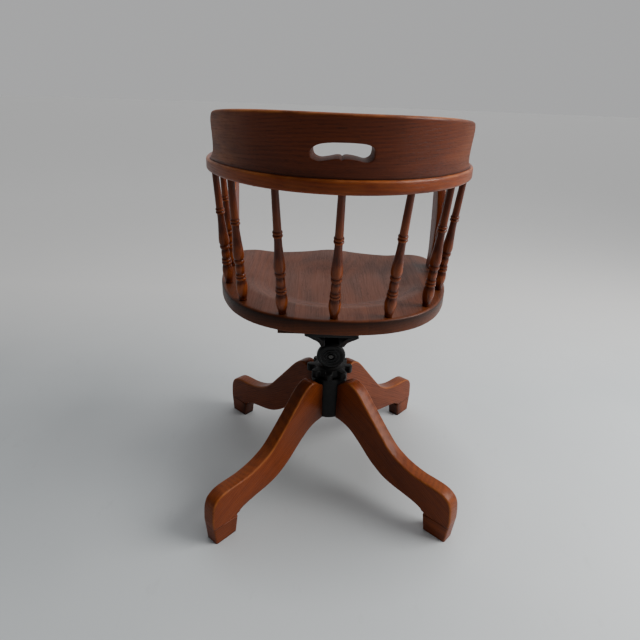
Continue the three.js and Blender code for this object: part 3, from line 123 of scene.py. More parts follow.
KNOB_START, KNOB_END = 0.042, 0.056
KNOB_RADIUS = 0.0313
BOLT_FRONT, BOLT_REAR = -0.0637, 0.0557
BOLT_PLAIN = 0.0165
SPRING_START, SPRING_END = -0.0411, 0.0044
SPRING_RADIUS = 0.0104
WIRE_RADIUS = 0.002
SPRING_TURNS = 6
SCREW_RADIUS = 0.0125
SCREW_PITCH = 0.006
SCREW_DEPTH = 0.0013
KEY_HALF_WIDTH = 0.003
KEYWAY_DEPTH = 0.003

# Sizes that only the scene has: the screw's journal, the threads, the knob's relief and the grain's slant
JOURNAL_LENGTH = 0.0125
JOURNAL_RADIUS = 0.009
SMALL_EDGE = 0.001
THREAD_STEP = 0.0006
BOLT_THREAD_DEPTH = 0.0006
BOLT_THREAD_STEP = 0.0004
KNOB_EDGE = 0.003
KNOB_SINK = 0.0045
LEG_SLANT = math.radians(-30)

# The sides of the chair, with the sign of X
SIDES = ((1, "left"), (-1, "right"))

# Mesh settings: points in a ring, how near points are welded, and the angles of sharp edges in degrees
SCREW_SIDES, BOLT_SIDES, KNOB_SIDES, SPINDLE_SIDES, WIRE_SIDES, FLOOR_POINTS = 64, 28, 80, 40, 12, 64
WELD = 2e-6
SHARP_ANGLE, EASED_SHARP_ANGLE, CORNER_ANGLE = 35, 30, 40

# Camera, fitted to the photograph's floor plane and outlines: yaw, pitch and roll in degrees, lens in mm
CAMERA_PLACE = Vector((0.036, 0.99969, 0.8439))
CAMERA_TURNS = (0.56, 24.033, -2.046)
CAMERA_SENSOR, CAMERA_LENS = 36, 28.125

# Sizes of the setting, in metres, and its brightness
FLOOR_RADIUS = 60.0
FLOOR_PALE = (-0.4, -1.2)
# Reaches of the painted shade behind the chair, the painted light far out, the painted shadow under the
# chair, the painted window light across, and the glow's strength
FLOOR_DIM = (0.75, 1.3)
FLOOR_FADE = (1.2, 4.0)
FLOOR_UNDER = (0.1, 0.4)
FLOOR_SIDES = (0.7, -0.9)
FLOOR_GLOW = 0.1
ROOM_SEEN = 0.46
ROOM_BRIGHT_WAY = (-0.55, -0.82, 0.15)
ROOM_DIM, ROOM_BRIGHT = 0.1, 0.75
ROOM_SPREAD = (-0.6, 1.0)
ROOM_COLOR = (0.985, 0.99, 1.0, 1)

# Lights: name, place, target, size, power and colour
light_rows = [
    ("window", (-2.1, 0.3, 1.8), (0, 0, 0.35), 1.5, 60, (1.0, 0.99, 0.97)),
    ("ceiling", (-0.2, 0.1, 2.6), (0, -0.1, 0.3), 1.8, 13, (0.97, 0.98, 1.0)),
]

# Colours of the floor, the iron and the steel
FLOOR_PATCHES = (0.62, 0.655, 0.67), (0.7, 0.73, 0.74)
FLOOR_SCUFF = (0.36, 0.37, 0.37)
FLOOR_FRONT = (0.88, 0.875, 0.86)
# Painted shade behind the chair, painted shadow under it, and the paler far floor and its glow, which are
# painted light
FLOOR_REAR_SHADE = (0.1, 0.1, 0.1)
FLOOR_SHADE = (0.12, 0.115, 0.11)
FLOOR_FAR = (0.8, 0.8, 0.79)
FLOOR_GLOW_COLOR = (1.0, 0.995, 0.98, 1)
IRON_FILM = (0.0045, 0.0045, 0.0045), (0.012, 0.0115, 0.0115)
IRON_BROWN = (0.034, 0.018, 0.01)
STEEL_FILM = (0.05, 0.047, 0.044), (0.12, 0.115, 0.11)

# Oak: noise scales per metre along the grain, across it and into the board
DRIFT_SCALE, STREAK_SCALE, PORE_SCALE = (2.2, 9, 9), (9, 520, 520), (55, 1500, 1500)
MOTTLE_SCALE, RUB_SCALE, WIDE_RUB_SCALE = (3.5, 14, 14), (30, 90, 90), (7, 25, 25)
# Oak: how far the rings drift, and the pith's slant and depth, in metres
DRIFT_REACH = (0.0, 0.024, 0.016)
PITH_SLANT, PITH_DEPTH = 0.07, 0.035

# Shares of those sizes, as in the part's source
leg_top_shares = [
    [0.06, 0.9], [0.12, 0.925], [0.15, 0.953], [0.185, 0.98], [0.224, 0.975], [0.278, 0.93], [0.361, 0.811],
    [0.451, 0.681], [0.544, 0.559], [0.618, 0.502], [0.694, 0.467], [0.77, 0.448], [0.846, 0.443],
    [0.908, 0.435], [0.951, 0.411], [0.979, 0.374], [0.994, 0.311], [1.0, 0.204],
]
leg_under_shares = [
    [0.06, 0.588], [0.107, 0.585], [0.164, 0.576], [0.226, 0.544], [0.282, 0.493], [0.338, 0.43],
    [0.395, 0.363], [0.451, 0.311], [0.513, 0.267], [0.584, 0.239], [0.663, 0.222], [0.739, 0.204],
    [0.798, 0.178], [0.821, 0.133],
]
leg_toe_share, leg_heel_share = 0.985, 0.838
seat_shares = [
    [0, 1], [0.212, 0.984], [0.426, 0.918], [0.627, 0.778], [0.786, 0.564], [0.894, 0.298], [0.963, 0],
    [0.996, -0.25], [1.0, -0.45], [0.99, -0.66], [0.962, -0.81], [0.895, -0.885], [0.74, -0.92],
    [0.5, -0.935], [0.25, -0.975], [0, -1],
]
bow_outer_shares = [
    [0, 1], [0.28, 0.952], [0.52, 0.822], [0.707, 0.645], [0.848, 0.447], [0.949, 0.232], [0.998, 0],
    [1.008, -0.27], [1.016, -0.55], [1.03, -0.77],
]
arm_end_shares = [[1.02, -0.9], [0.965, -0.985], [0.88, -1.0], [0.79, -0.965], [0.735, -0.87]]
bow_inner_shares = [
    [0.735, -0.7], [0.762, -0.45], [0.772, -0.2], [0.765, 0], [0.735, 0.2], [0.65, 0.4], [0.52, 0.575],
    [0.36, 0.7], [0.18, 0.775], [0, 0.8],
]
spindle_foot_shares = [[0, 0.926], [0.39, 0.856], [0.713, 0.562], [0.886, 0.087], [0.938, -0.373]]
spindle_head_shares = [[0, 0.954], [0.407, 0.841], [0.722, 0.551], [0.889, 0.248], [0.935, -0.254]]
# Turned profile: share of the visible length down from the bow, share of the urn's radius
turning_shares = [
    [0, 0.54], [0.27, 0.62], [0.293, 0.63], [0.297, 0.6], [0.3, 0.7], [0.306, 0.77], [0.314, 0.77],
    [0.319, 0.66], [0.322, 0.62], [0.326, 0.7], [0.331, 0.79], [0.339, 0.79], [0.344, 0.66], [0.348, 0.6],
    [0.38, 0.6], [0.42, 0.645], [0.46, 0.7], [0.53, 0.84], [0.575, 0.925], [0.6, 0.92], [0.618, 0.84],
    [0.625, 0.74],
    [0.63, 0.8], [0.637, 0.87], [0.65, 0.87], [0.657, 0.8], [0.662, 0.7], [0.668, 0.67], [0.7, 0.77],
    [0.735, 0.755], [0.748, 0.7], [0.754, 0.77], [0.762, 0.86], [0.772, 0.86], [0.778, 0.79], [0.782, 0.79],
    [0.788, 0.9], [0.801, 0.9], [0.808, 0.8], [0.812, 0.76], [0.82, 0.82], [0.85, 0.965], [0.885, 1.0],
    [0.93, 0.88], [0.965, 0.7], [0.98, 0.66], [1.0, 0.65],
]
support_rear_shares = [
    [0, 1], [0.09, 1.1], [0.2, 1.35], [0.34, 1.65], [0.51, 1.75], [0.66, 1.35], [0.79, 0.65], [0.9, 0.1],
    [1, -0.15],
]
support_front_shares = [
    [0, -1], [0.09, -0.75], [0.2, -0.62], [0.34, -0.82], [0.51, -1.15], [0.66, -1.5], [0.77, -1.8],
    [0.9, -2.45], [1, -3.3],
]
crest_flare_shares = [
    [0, 1], [0.05, 0.72], [0.12, 0.32], [0.24, 0.08], [0.5, 0], [0.74, 0.02], [0.86, -0.06], [0.93, -0.2],
    [0.975, -0.4], [1, -0.66],
]
slot_shares = [
    [-1, 0.5], [-0.95, 0.77], [-0.76, 0.93], [-0.42, 0.99], [0, 1], [0.42, 0.97], [0.72, 0.875], [0.93, 0.67],
    [1, 0.4], [0.93, 0.12], [0.74, 0], [0.46, 0.06], [0.18, 0.155], [0.06, 0.145], [0, 0.085], [-0.06, 0.145],
    [-0.2, 0.165], [-0.48, 0.1], [-0.78, 0], [-0.95, 0.14],
]
# Hand wheel's crown in metres: radius, and how far under the top
wheel_crown = [(0.029, 0.003), (0.0275, 0.0025), (0.0255, 0.0005), (0.024, 0)]
# Knob's face in metres: how far inside the rim, and how far under the face
knob_rings = [
    (0, 0.0035), (0.0025, 0.0004), (0.0055, 0), (0.0075, 0.0004), (0.009, 0.0022), (0.0125, 0.0024),
    (0.0137, 0.0005), (0.0153, 0.0004), (0.0163, 0.0022), (0.0191, 0.0022), (0.0201, 0.0004),
    (0.0209, 0), (0.0221, 0), (0.0227, 0.0006), (0.0229, KNOB_SINK),
]


def add_object(name, data):
    made = bpy.data.objects.new(name, data)
    bpy.context.scene.collection.objects.link(made)
    return made


def make_camera():
    yaw, pitch, roll = (math.radians(turn) for turn in CAMERA_TURNS)
    forward = Vector((-math.sin(yaw) * math.cos(pitch), -math.cos(yaw) * math.cos(pitch), -math.sin(pitch)))
    right = Vector((-math.cos(yaw), math.sin(yaw), 0))
    up = right.cross(forward)
    side = right * math.cos(roll) - up * math.sin(roll)
    top = right * math.sin(roll) + up * math.cos(roll)
    data = bpy.data.cameras.new("camera")
    data.sensor_width, data.lens = CAMERA_SENSOR, CAMERA_LENS
    camera = add_object("camera", data)
    turn = Matrix((side, top, -forward)).transposed().to_4x4()
    camera.matrix_world = Matrix.Translation(CAMERA_PLACE) @ turn
    bpy.context.scene.camera = camera


# Curves
def between(p1, p2, v0, v1, w):
    """The cubic between two points that it passes with the velocities v0 and v1, at the share w."""
    return (2 * p1 - 2 * p2 + v0 + v1) * w**3 + (3 * p2 - 3 * p1 - 2 * v0 - v1) * w**2 + v0 * w + p1


def spline(points, count):
    """An open uniform Catmull-Rom curve through the points, with count spans."""
    points = np.asarray(points, float)
    last = len(points) - 1
    made = []
    for t in np.linspace(0, last, count + 1):
        i = min(int(t), last - 1)
        p0, p1, p2, p3 = (points[k] for k in (max(i - 1, 0), i, i + 1, min(i + 2, last)))
        made.append(between(p1, p2, (p2 - p0) / 2, (p3 - p1) / 2, t - i))
    return np.array(made)


def loop(points, per_span):
    """A closed centripetal Catmull-Rom curve through the points."""
    points = np.asarray(points, float)
    count = len(points)
    made = []
    for i in range(count):
        p0, p1, p2, p3 = (points[(i + k) % count] for k in (-1, 0, 1, 2))
        d0, d1, d2 = (max(np.linalg.norm(b - a), 1e-12) ** 0.5 for a, b in ((p0, p1), (p1, p2), (p2, p3)))
        v0 = ((p1 - p0) / d0 - (p2 - p0) / (d0 + d1) + (p2 - p1) / d1) * d1
        v1 = ((p2 - p1) / d1 - (p3 - p1) / (d1 + d2) + (p3 - p2) / d2) * d1
        made += [between(p1, p2, v0, v1, w) for w in np.arange(per_span) / per_span]
    return np.array(made)


def plan(shares, half_width, rear, front):
    return np.array([[x * half_width, y * (front if y < 0 else rear)] for x, y in shares])


def mirrored(points):
    return np.vstack([points, (points[1:-1] * [-1, 1])[::-1]])


def normals(points, closed):
    """Unit normals to the right of the way that the points run."""
    if closed:
        step = np.roll(points, -1, 0) - np.roll(points, 1, 0)
    else:
        step = np.gradient(points, axis=0)
    step /= np.linalg.norm(step, axis=1)[:, None]
    return np.stack([step[:, 1], -step[:, 0]], 1)


def outward_normals(outline):
    """Unit normals of a closed outline that point away from its middle."""
    made = normals(outline, True)
    return made if np.sum(made * (outline - outline.mean(0))) > 0 else -made


def lengths(points):
    return np.concatenate([[0], np.cumsum(np.linalg.norm(np.diff(points, axis=0), axis=1))])


def resampled(points, count):
    run = lengths(points)
    at = np.linspace(0, run[-1], count)
    return np.stack([np.interp(at, run, points[:, k]) for k in (0, 1)], 1)


def circle(angles):
    return np.stack([np.cos(angles), np.sin(angles)], -1)


def turning(angle):
    """The matrix of a turn in plan, for points in rows."""
    return np.array([[math.cos(angle), math.sin(angle)], [-math.sin(angle), math.cos(angle)]])


def smoothstep(low, high, value):
    t = np.clip((value - low) / (high - low), 0, 1)
    return t * t * (3 - 2 * t)


def rounding(low, high, edge, steps):
    """Levels of a board with rounded edges: (inset, height, how far round the edge)."""
    turn = [math.pi / 2 * k / steps for k in range(steps + 1)]
    foot = [(edge * (1 - math.sin(a)), low + edge * (1 - math.cos(a)), math.sin(2 * a)) for a in turn]
    head = [(edge * (1 - math.cos(a)), high - edge * (1 - math.sin(a)), math.sin(2 * a)) for a in turn]
    return foot + head


def cut_corners(points, times):
    """Rounds a profile by cutting its corners, with the two ends kept."""
    points = np.asarray(points, float)
    for _ in range(times):
        near = points[:-1] * 0.75 + points[1:] * 0.25
        far = points[:-1] * 0.25 + points[1:] * 0.75
        points = np.vstack([points[:1], np.stack([near, far], 1).reshape(-1, 2), points[-1:]])
    return points


# Faces
def strips(grid):
    """Quads between the neighbours in a grid of point numbers."""
    low, high = grid[:-1], grid[1:]
    quads = np.stack([low[:, :-1], low[:, 1:], high[:, 1:], high[:, :-1]], -1)
    return [tuple(quad) for quad in quads.reshape(-1, 4).tolist()]


def wrapped(rows, count):
    """Point numbers of rows of count points, each row with its first point once more at the end."""
    grid = np.arange(rows * count).reshape(rows, count)
    return np.column_stack([grid, grid[:, :1]])


def tube(rows, count, joined=False):
    """Faces round rows of count points, with the last row joined to the first or both ends closed."""
    grid = wrapped(rows, count)
    if joined:
        return strips(np.vstack([grid, grid[:1]]))
    ends = [tuple(range(count))[::-1], tuple(range((rows - 1) * count, rows * count))]
    return strips(grid) + ends


def lathe(profile, sides, joined=False):
    """Turns (radius, height) points about Z. Returns points, faces and the profile index of each point."""
    ring = circle(np.arange(sides) * 2 * math.pi / sides)
    points = np.vstack([np.column_stack([ring * r, np.full(sides, h)]) for r, h in profile])
    return points, tube(len(profile), sides, joined), np.repeat(np.arange(len(profile)), sides)


def board(chain_a, chain_b, normal_a, normal_b, levels, rungs):
    """A board between two edge chains of equal length. Returns points (x, y, height), faces, and for each
    point its station along the chains, its share of the way from a to b, and its rubbing and painted
    highlight."""
    count = len(chain_a)
    rows = []
    for inset, height, worn_and_highlit in levels:
        rows.append((chain_a - normal_a * inset, height, 0, worn_and_highlit))
        rows.append((chain_b - normal_b * inset, height, 1, worn_and_highlit))
    for (flat_a, height, _, _), (flat_b, *_) in (rows[:2], rows[-2:]):
        for share in np.arange(1, rungs) / rungs:
            rows.append((flat_a * (1 - share) + flat_b * share, height, share, 0))
    points = np.vstack([np.column_stack([flat, np.full(count, height)]) for flat, height, _, _ in rows])
    numbers = np.arange(len(points)).reshape(-1, count)
    edges, inner = np.split(numbers, [2 * len(levels)])
    edges = edges.reshape(-1, 2, count)
    faces = strips(edges[:, 0]) + strips(edges[:, 1, ::-1])
    faces += strips(edges[:, ::-1, 0]) + strips(edges[:, :, -1])
    under = np.vstack([edges[0, :1], inner[:rungs - 1], edges[0, 1:]])
    over = np.vstack([edges[-1, :1], inner[rungs - 1:], edges[-1, 1:]])
    faces += [face[::-1] for face in strips(under)] + strips(over)
    across, wear_and_shading = (np.repeat([row[k] for row in rows], count) for k in (2, 3))
    return points, faces, np.tile(np.arange(count), len(rows)), across, wear_and_shading


# Pieces
def write_marks(mesh, grain, wear_and_shading):
    """Writes the grain attribute, and the attribute of rubbing, soiling, painted highlight and painted shade,
    that the wood materials read.
    """
    for name, kind, key, values in (
        ("grain", "FLOAT_VECTOR", "vector", grain), ("wear_and_shading", "FLOAT", "value", wear_and_shading),
    ):
        data = mesh.attributes.new(name, kind, "POINT").data
        data.foreach_set(key, np.ravel(values).astype(np.float32))


def closed_mesh(name, points, faces, grain=None, wear_and_shading=None):
    """A mesh with its doubled points welded and its faces turned outwards."""
    mesh = bpy.data.meshes.new(name)
    mesh.from_pydata([tuple(p) for p in points], [], [tuple(int(i) for i in face) for face in faces])
    if grain is not None:
        write_marks(mesh, grain, wear_and_shading)
    work = bmesh.new()
    work.from_mesh(mesh)
    bmesh.ops.remove_doubles(work, verts=work.verts, dist=WELD)
    bmesh.ops.dissolve_degenerate(work, edges=work.edges, dist=WELD)
    bmesh.ops.recalc_face_normals(work, faces=work.faces)
    work.to_mesh(mesh)
    work.free()
    return mesh


def finish_piece(name, mesh, body, node, material, sharp=SHARP_ANGLE):
    mesh.shade_smooth()
    mesh.set_sharp_from_angle(angle=math.radians(sharp))
    mesh.materials.clear()
    mesh.materials.append(material)
    piece = add_object(name, mesh)
    if body:
        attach(piece, body)
    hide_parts(node)
    return piece


def make_piece(name, points, faces, body, node, material, grain=None, wear_and_shading=None):
    """Makes a piece that replaces the node, with marks where its material is wood."""
    mesh = closed_mesh(name, points, faces, grain, wear_and_shading)
    return finish_piece(name, mesh, body, node, material)


def to_row(points):
    """Moves points set out from the column's axis into the row frame."""
    return np.asarray(points, float) + [0, AXIS_Y, 0]


# Materials
class Graph:
    """Adds shader nodes to a material or a world."""

    def __init__(self, owner):
        owner.use_nodes = True
        self.owner, self.tree = owner, owner.node_tree
        self.tree.nodes.clear()

    def node(self, kind, inputs=(), **settings):
        made = self.tree.nodes.new(kind)
        for key, value in settings.items():
            setattr(made, key, value)
        for key, value in dict(inputs).items():
            if hasattr(value, "is_output"):
                self.tree.links.new(value, made.inputs[key])
            else:
                made.inputs[key].default_value = value
        return made

    def math(self, operation, *values, clamp=False):
        return self.node("ShaderNodeMath", enumerate(values), operation=operation, use_clamp=clamp).outputs[0]

    def vector(self, operation, *values, output=0):
        return self.node("ShaderNodeVectorMath", enumerate(values), operation=operation).outputs[output]

    def separate(self, vector):
        return self.node("ShaderNodeSeparateXYZ", {0: vector}).outputs

    def combine(self, *values):
        return self.node("ShaderNodeCombineXYZ", enumerate(values)).outputs[0]

    def grey(self, value):
        return self.node("ShaderNodeCombineColor", {0: value, 1: value, 2: value}).outputs[0]

    def noise(self, vector, scale, detail=2.0, roughness=0.5, output="Fac"):
        """Noise of one scale, or of a scale for each axis."""
        if isinstance(scale, tuple):
            vector, scale = self.vector("MULTIPLY", vector, scale), 1.0
        return self.node("ShaderNodeTexNoise", {
            "Vector": vector, "Scale": scale, "Detail": detail, "Roughness": roughness,
        }).outputs[output]

    def range(self, value, low, high, new_low=0.0, new_high=1.0, **settings):
        return self.node("ShaderNodeMapRange", {
            "Value": value, "From Min": low, "From Max": high, "To Min": new_low, "To Max": new_high,
        }, **settings).outputs[0]

    def mix(self, share, one, two, blend="MIX"):
        one, two = (color if hasattr(color, "is_output") else (*color, 1) for color in (one, two))
        inputs = {0: share, 6: one, 7: two}
        return self.node("ShaderNodeMix", inputs, data_type="RGBA", blend_type=blend).outputs[2]

    def finish(self, color, roughness, height, distance, others):
        """Ends a material, with the other inputs of its shader by name."""
        bump = self.node("ShaderNodeBump", {"Height": height, "Strength": 1.0, "Distance": distance})
        shader = self.node("ShaderNodeBsdfPrincipled", {
            "Base Color": color, "Roughness": roughness, "Normal": bump.outputs[0], **others,
        })
        self.node("ShaderNodeOutputMaterial", {0: shader.outputs[0]})
        return self.owner


def glued_boards(g, grain, width):
    """Grain that starts anew in each board of a glued-up panel, and a random number for each board."""
    along, across, depth = g.separate(grain)
    number = g.math("FLOOR", g.math("DIVIDE", g.math("ADD", across, 10.03), width))
    tint = g.node("ShaderNodeTexWhiteNoise", {"W": number}, noise_dimensions="1D").outputs["Value"]
    depth = g.math("ADD", depth, g.math("MULTIPLY", number, 0.37))
    along = g.math("ADD", along, g.math("MULTIPLY", number, 0.61))
    return g.combine(along, across, depth), tint


def growth_rings(g, warped, ring_gap):
    """How far each place is into the early wood of its growth ring."""
    along, across, depth = g.separate(warped)
    pith_across = g.math("MULTIPLY_ADD", along, PITH_SLANT, across)
    centre = g.combine(0.0, pith_across, g.math("ADD", depth, PITH_DEPTH))
    reach = g.vector("LENGTH", centre, output="Value")
    phase = g.math("FRACT", g.math("DIVIDE", reach, ring_gap))
    return g.range(g.math("PINGPONG", phase, 0.5), 0.12, 0.4)


def oak(name, pale, deep, pore, worn_and_highlit, dirt_and_shade, gloss, coat, specular, ring_gap=0.0045, board_width=0.0,
        polish=0.14):
    """Varnished oak. The grain attribute holds metres along the grain, across it and into the board."""
    g = Graph(bpy.data.materials.new(name))
    grain = g.node("ShaderNodeAttribute", attribute_name="grain").outputs["Vector"]
    wear_and_shading = g.node("ShaderNodeAttribute", attribute_name="wear_and_shading").outputs["Fac"]
    if board_width:
        grain, tint = glued_boards(g, grain, board_width)
    drift = g.vector("SUBTRACT", g.noise(grain, DRIFT_SCALE, output="Color"), (0.5, 0.5, 0.5))
    warped = g.vector("ADD", g.vector("MULTIPLY", drift, DRIFT_REACH), grain)
    early = growth_rings(g, warped, ring_gap)
    streak = g.range(g.noise(warped, STREAK_SCALE, 4.0, 0.65), 0.32, 0.7)
    pores = g.range(g.noise(warped, PORE_SCALE, 1.0), 0.56, 0.68)
    pores = g.math("MULTIPLY", pores, g.range(early, 0.0, 1.0, 0.3, 1.0))
    share = g.math("ADD", g.math("MULTIPLY", early, 0.25), g.math("MULTIPLY", streak, 0.6), clamp=True)
    color = g.mix(share, pale, deep)
    color = g.mix(g.math("MULTIPLY", pores, 0.55), color, pore)
    shade = g.range(g.noise(grain, MOTTLE_SCALE, 3.0, 0.55), 0.3, 0.7, 0.72, 1.22)
    if board_width:
        shade = g.math("MULTIPLY", shade, g.range(tint, 0.0, 1.0, 0.86, 1.12))
    color = g.mix(1.0, color, g.grey(shade), "MULTIPLY")
    rub = g.math("ADD", g.noise(grain, RUB_SCALE, 3.0, 0.6), g.noise(grain, WIDE_RUB_SCALE))
    rub = g.range(rub, 0.75, 1.25, 0.15, 1.1)
    # Above nought the attribute lightens towards the rubbed colour and below nought it darkens towards the
    # soiled colour; both carry painted highlights and painted shade as well as real rubbing and soiling.
    color = g.mix(g.math("MULTIPLY", g.math("MAXIMUM", wear_and_shading, 0.0), rub, clamp=True), color, worn_and_highlit)
    darkening = g.math("MAXIMUM", g.math("MULTIPLY", wear_and_shading, -1.0), 0.0)
    color = g.mix(g.math("MULTIPLY", darkening, 0.9, clamp=True), color, dirt_and_shade)
    rough = g.range(streak, 0.0, 1.0, gloss - 0.05, gloss + 0.07)
    rough = g.math("ADD", rough, g.math("MULTIPLY", pores, 0.12))
    height = g.math("SUBTRACT", g.math("MULTIPLY", streak, 0.35), g.math("MULTIPLY", pores, 0.6))
    return g.finish(color, rough, height, 0.00018, {
        "Coat Weight": coat, "Coat Roughness": polish, "Specular IOR Level": specular,
    })


def iron():
    """Black japanned casting: a faint pebbled skin, thin brown where the film has worn."""
    g = Graph(bpy.data.materials.new("japanned_iron"))
    place = g.node("ShaderNodeTexCoord").outputs["Object"]
    coarse = g.noise(place, 60.0, 4.0, 0.6)
    pebble = g.noise(place, 700.0, 3.0, 0.6)
    color = g.mix(g.range(coarse, 0.35, 0.7), *IRON_FILM)
    rubbed = g.range(g.noise(place, 140.0, 4.0, 0.7), 0.62, 0.78, 0.0, 0.5)
    color = g.mix(rubbed, color, IRON_BROWN)
    rough = g.range(coarse, 0.3, 0.7, 0.4, 0.56)
    skin = g.math("ADD", pebble, g.math("MULTIPLY", coarse, 0.8))
    return g.finish(color, rough, skin, 0.0003, {"Metallic": 0.1, "Specular IOR Level": 0.24})


def steel():
    """Oiled steel, darkened, with fine turning marks."""
    g = Graph(bpy.data.materials.new("oiled_steel"))
    place = g.node("ShaderNodeTexCoord").outputs["Object"]
    marks = g.noise(place, (300, 300, 2600))
    film = g.noise(place, 120.0, 4.0, 0.65)
    color = g.mix(g.range(film, 0.35, 0.7), *STEEL_FILM)
    return g.finish(color, g.range(film, 0.3, 0.7, 0.32, 0.5), marks, 0.00005, {"Metallic": 0.85})


OAK_DARK = oak(
    "oak_dark", (0.132, 0.0245, 0.0044), (0.067, 0.0102, 0.0019), (0.02, 0.004, 0.001),
    (0.5, 0.155, 0.034), (0.009, 0.003, 0.001), 0.42, coat=0.06, specular=0.16,
)
OAK_BOW = oak(
    "oak_bow", (0.2, 0.0335, 0.0062), (0.094, 0.0136, 0.0027), (0.022, 0.005, 0.001),
    (0.54, 0.165, 0.036), (0.009, 0.003, 0.001), 0.38, coat=0.08, specular=0.16,
)
OAK_TURNED = oak(
    "oak_turned", (0.144, 0.0255, 0.0044), (0.062, 0.0098, 0.0018), (0.018, 0.003, 0.001),
    (0.44, 0.105, 0.02), (0.006, 0.002, 0.001), 0.4, ring_gap=0.003, coat=0.3, polish=0.08, specular=0.1,
)
OAK_SEAT = oak(
    "oak_seat", (0.13, 0.03, 0.0066), (0.063, 0.014, 0.0034), (0.022, 0.007, 0.003),
    (0.22, 0.06, 0.016), (0.006, 0.002, 0.001), 0.44, coat=0.03, specular=0.2, ring_gap=0.006,
    board_width=0.135,
)
OAK_LEG = oak(
    "oak_leg", (0.222, 0.0465, 0.0098), (0.086, 0.0158, 0.0036), (0.024, 0.006, 0.002),
    (0.4, 0.125, 0.032), (0.012, 0.004, 0.002), 0.38, ring_gap=0.005, coat=0.08, specular=0.14,
)
OAK_RAW = oak(
    "oak_raw", (0.085, 0.032, 0.013), (0.045, 0.016, 0.007), (0.016, 0.007, 0.004),
    (0.13, 0.06, 0.03), (0.01, 0.005, 0.003), 0.6, coat=0.0, specular=0.2,
)
IRON = iron()
STEEL = steel()


# Seat: a saddle with a dish that runs out beside a raised pommel
def dish_depth(x, y):
    behind = np.maximum(y + DISH_CENTRE, 0) / (DISH_REAR + DISH_CENTRE)
    bowl = smoothstep(-0.03, 0.3, 1 - np.hypot(x / DISH_HALF_WIDTH, behind))
    run_out = 1 - 0.6 * smoothstep(0.35 * SEAT_FRONT, SEAT_FRONT, -y)
    ridge = np.exp(-((x / POMMEL_HALF_WIDTH) ** 2)) * smoothstep(0.2 * SEAT_FRONT, 0.9 * SEAT_FRONT, -y)
    return DISH_DEPTH * bowl * run_out * (1 - ridge)


def make_seat():
    outline = loop(mirrored(plan(seat_shares, *SEAT_PLAN)), 8)
    outward = outward_normals(outline)
    flat = outline - outward * SEAT_EDGE
    rings, wear_and_shading = [], []
    for share in np.linspace(0.0, 1.0, 46)[1:]:
        x, y = (flat * share).T
        depth = dish_depth(x, y)
        rings.append(np.stack([x, y, SEAT_TOP - depth], 1))
        # The rear ledge is lighter, and a painted highlight runs along the dish's shoulder towards the rear.
        shoulder = smoothstep(0.0, 0.0025, depth) * smoothstep(0.0075, 0.003, depth)
        wear_and_shading.append(0.12 * smoothstep(0.12, 0.19, y) + 0.16 * shoulder * smoothstep(0.0, 0.1, y))
    for inset, height, worn_and_highlit in rounding(SEAT_BOTTOM, SEAT_TOP, SEAT_EDGE, 5)[::-1][1:]:
        spot = outline - outward * inset
        share = (height - SEAT_BOTTOM) / (SEAT_TOP - SEAT_BOTTOM)
        rings.append(np.column_stack([spot, height - dish_depth(*spot.T) * (share > 0.5)]))
        # The upper rounding is lighter, rubbed and with a painted highlight; the sides of the rim are darker,
        # fading out towards the front.
        darkening = 0.95 * smoothstep(0.15, 0.4, share) * smoothstep(1.0, 0.9, share)
        wear_and_shading.append((0.35 * worn_and_highlit if share > 0.7 else 0) - darkening * smoothstep(-0.16, -0.02, outline[:, 1]))
    centres = [(0, 0, SEAT_TOP - dish_depth(0.0, 0.0)), (0, 0, SEAT_BOTTOM)]
    points = np.vstack([*rings, centres])
    top, bottom = len(points) - 2, len(points) - 1
    grid = wrapped(len(rings), len(outline))
    faces = strips(grid)
    faces += [(top, k, i) for i, k in zip(grid[0], grid[0, 1:])]
    faces += [(i, k, bottom) for i, k in zip(grid[-1], grid[-1, 1:])]
    grain = np.stack([points[:, 1], points[:, 0] + 0.02, points[:, 2] - SEAT_TOP], 1)
    worn_and_highlit = np.concatenate([*wear_and_shading, [0, 0]])
    make_piece("seat_board", to_row(points), faces, "seat", "seat", OAK_SEAT, grain, worn_and_highlit)


# Arm bow: a flat horseshoe with rounded edges
def make_bow():
    per_span = 8
    left = plan(bow_outer_shares + arm_end_shares + bow_inner_shares, *BOW_PLAN)
    ring = loop(mirrored(left), per_span)
    outward = outward_normals(ring)
    tip = (len(bow_outer_shares) + 2) * per_span
    ring, outward = np.roll(ring, -tip, 0), np.roll(outward, -tip, 0)
    half = len(ring) // 2
    inner = np.arange(half + 1)
    outer = (-inner) % len(ring)
    levels = rounding(BOW_BOTTOM, BOW_TOP, BOW_EDGE, 5)
    points, faces, station, across, wear_and_shading = board(
        ring[outer], ring[inner], outward[outer], outward[inner], levels, 6,
    )
    height = points[:, 2]
    width = np.linalg.norm(ring[outer] - ring[inner], axis=1)
    run = lengths((ring[outer] + ring[inner]) / 2)
    grain = np.stack([run[station], across * width[station], height - BOW_BOTTOM], 1)
    # The upper arrises are lighter than the lower ones, the outer most, with rubbing and a painted highlight;
    # the outer face is a little lighter as well.
    outer_side = across < 0.5
    wear_and_shading = wear_and_shading * np.where(height > (BOW_BOTTOM + BOW_TOP) / 2, np.where(outer_side, 0.8, 0.5), 0.2)
    flat = (height > BOW_BOTTOM + BOW_EDGE * 0.9) & (height < BOW_TOP - BOW_EDGE * 0.9)
    wear_and_shading = wear_and_shading + np.where(outer_side & flat, 0.2, 0)
    make_piece("arm_bow_board", to_row(points), faces, "seat", "arm_bow", OAK_BOW, grain, wear_and_shading)


# Crest rail: a bent board that stands on the bow, leans back and flares out along it at both feet
def crest_run():
    outer = plan(bow_outer_shares, *BOW_PLAN)
    line = spline(np.vstack([(outer[1:] * [-1, 1])[::-1], outer]), 1200)
    return line, lengths(line)


crest_line, crest_length = crest_run()


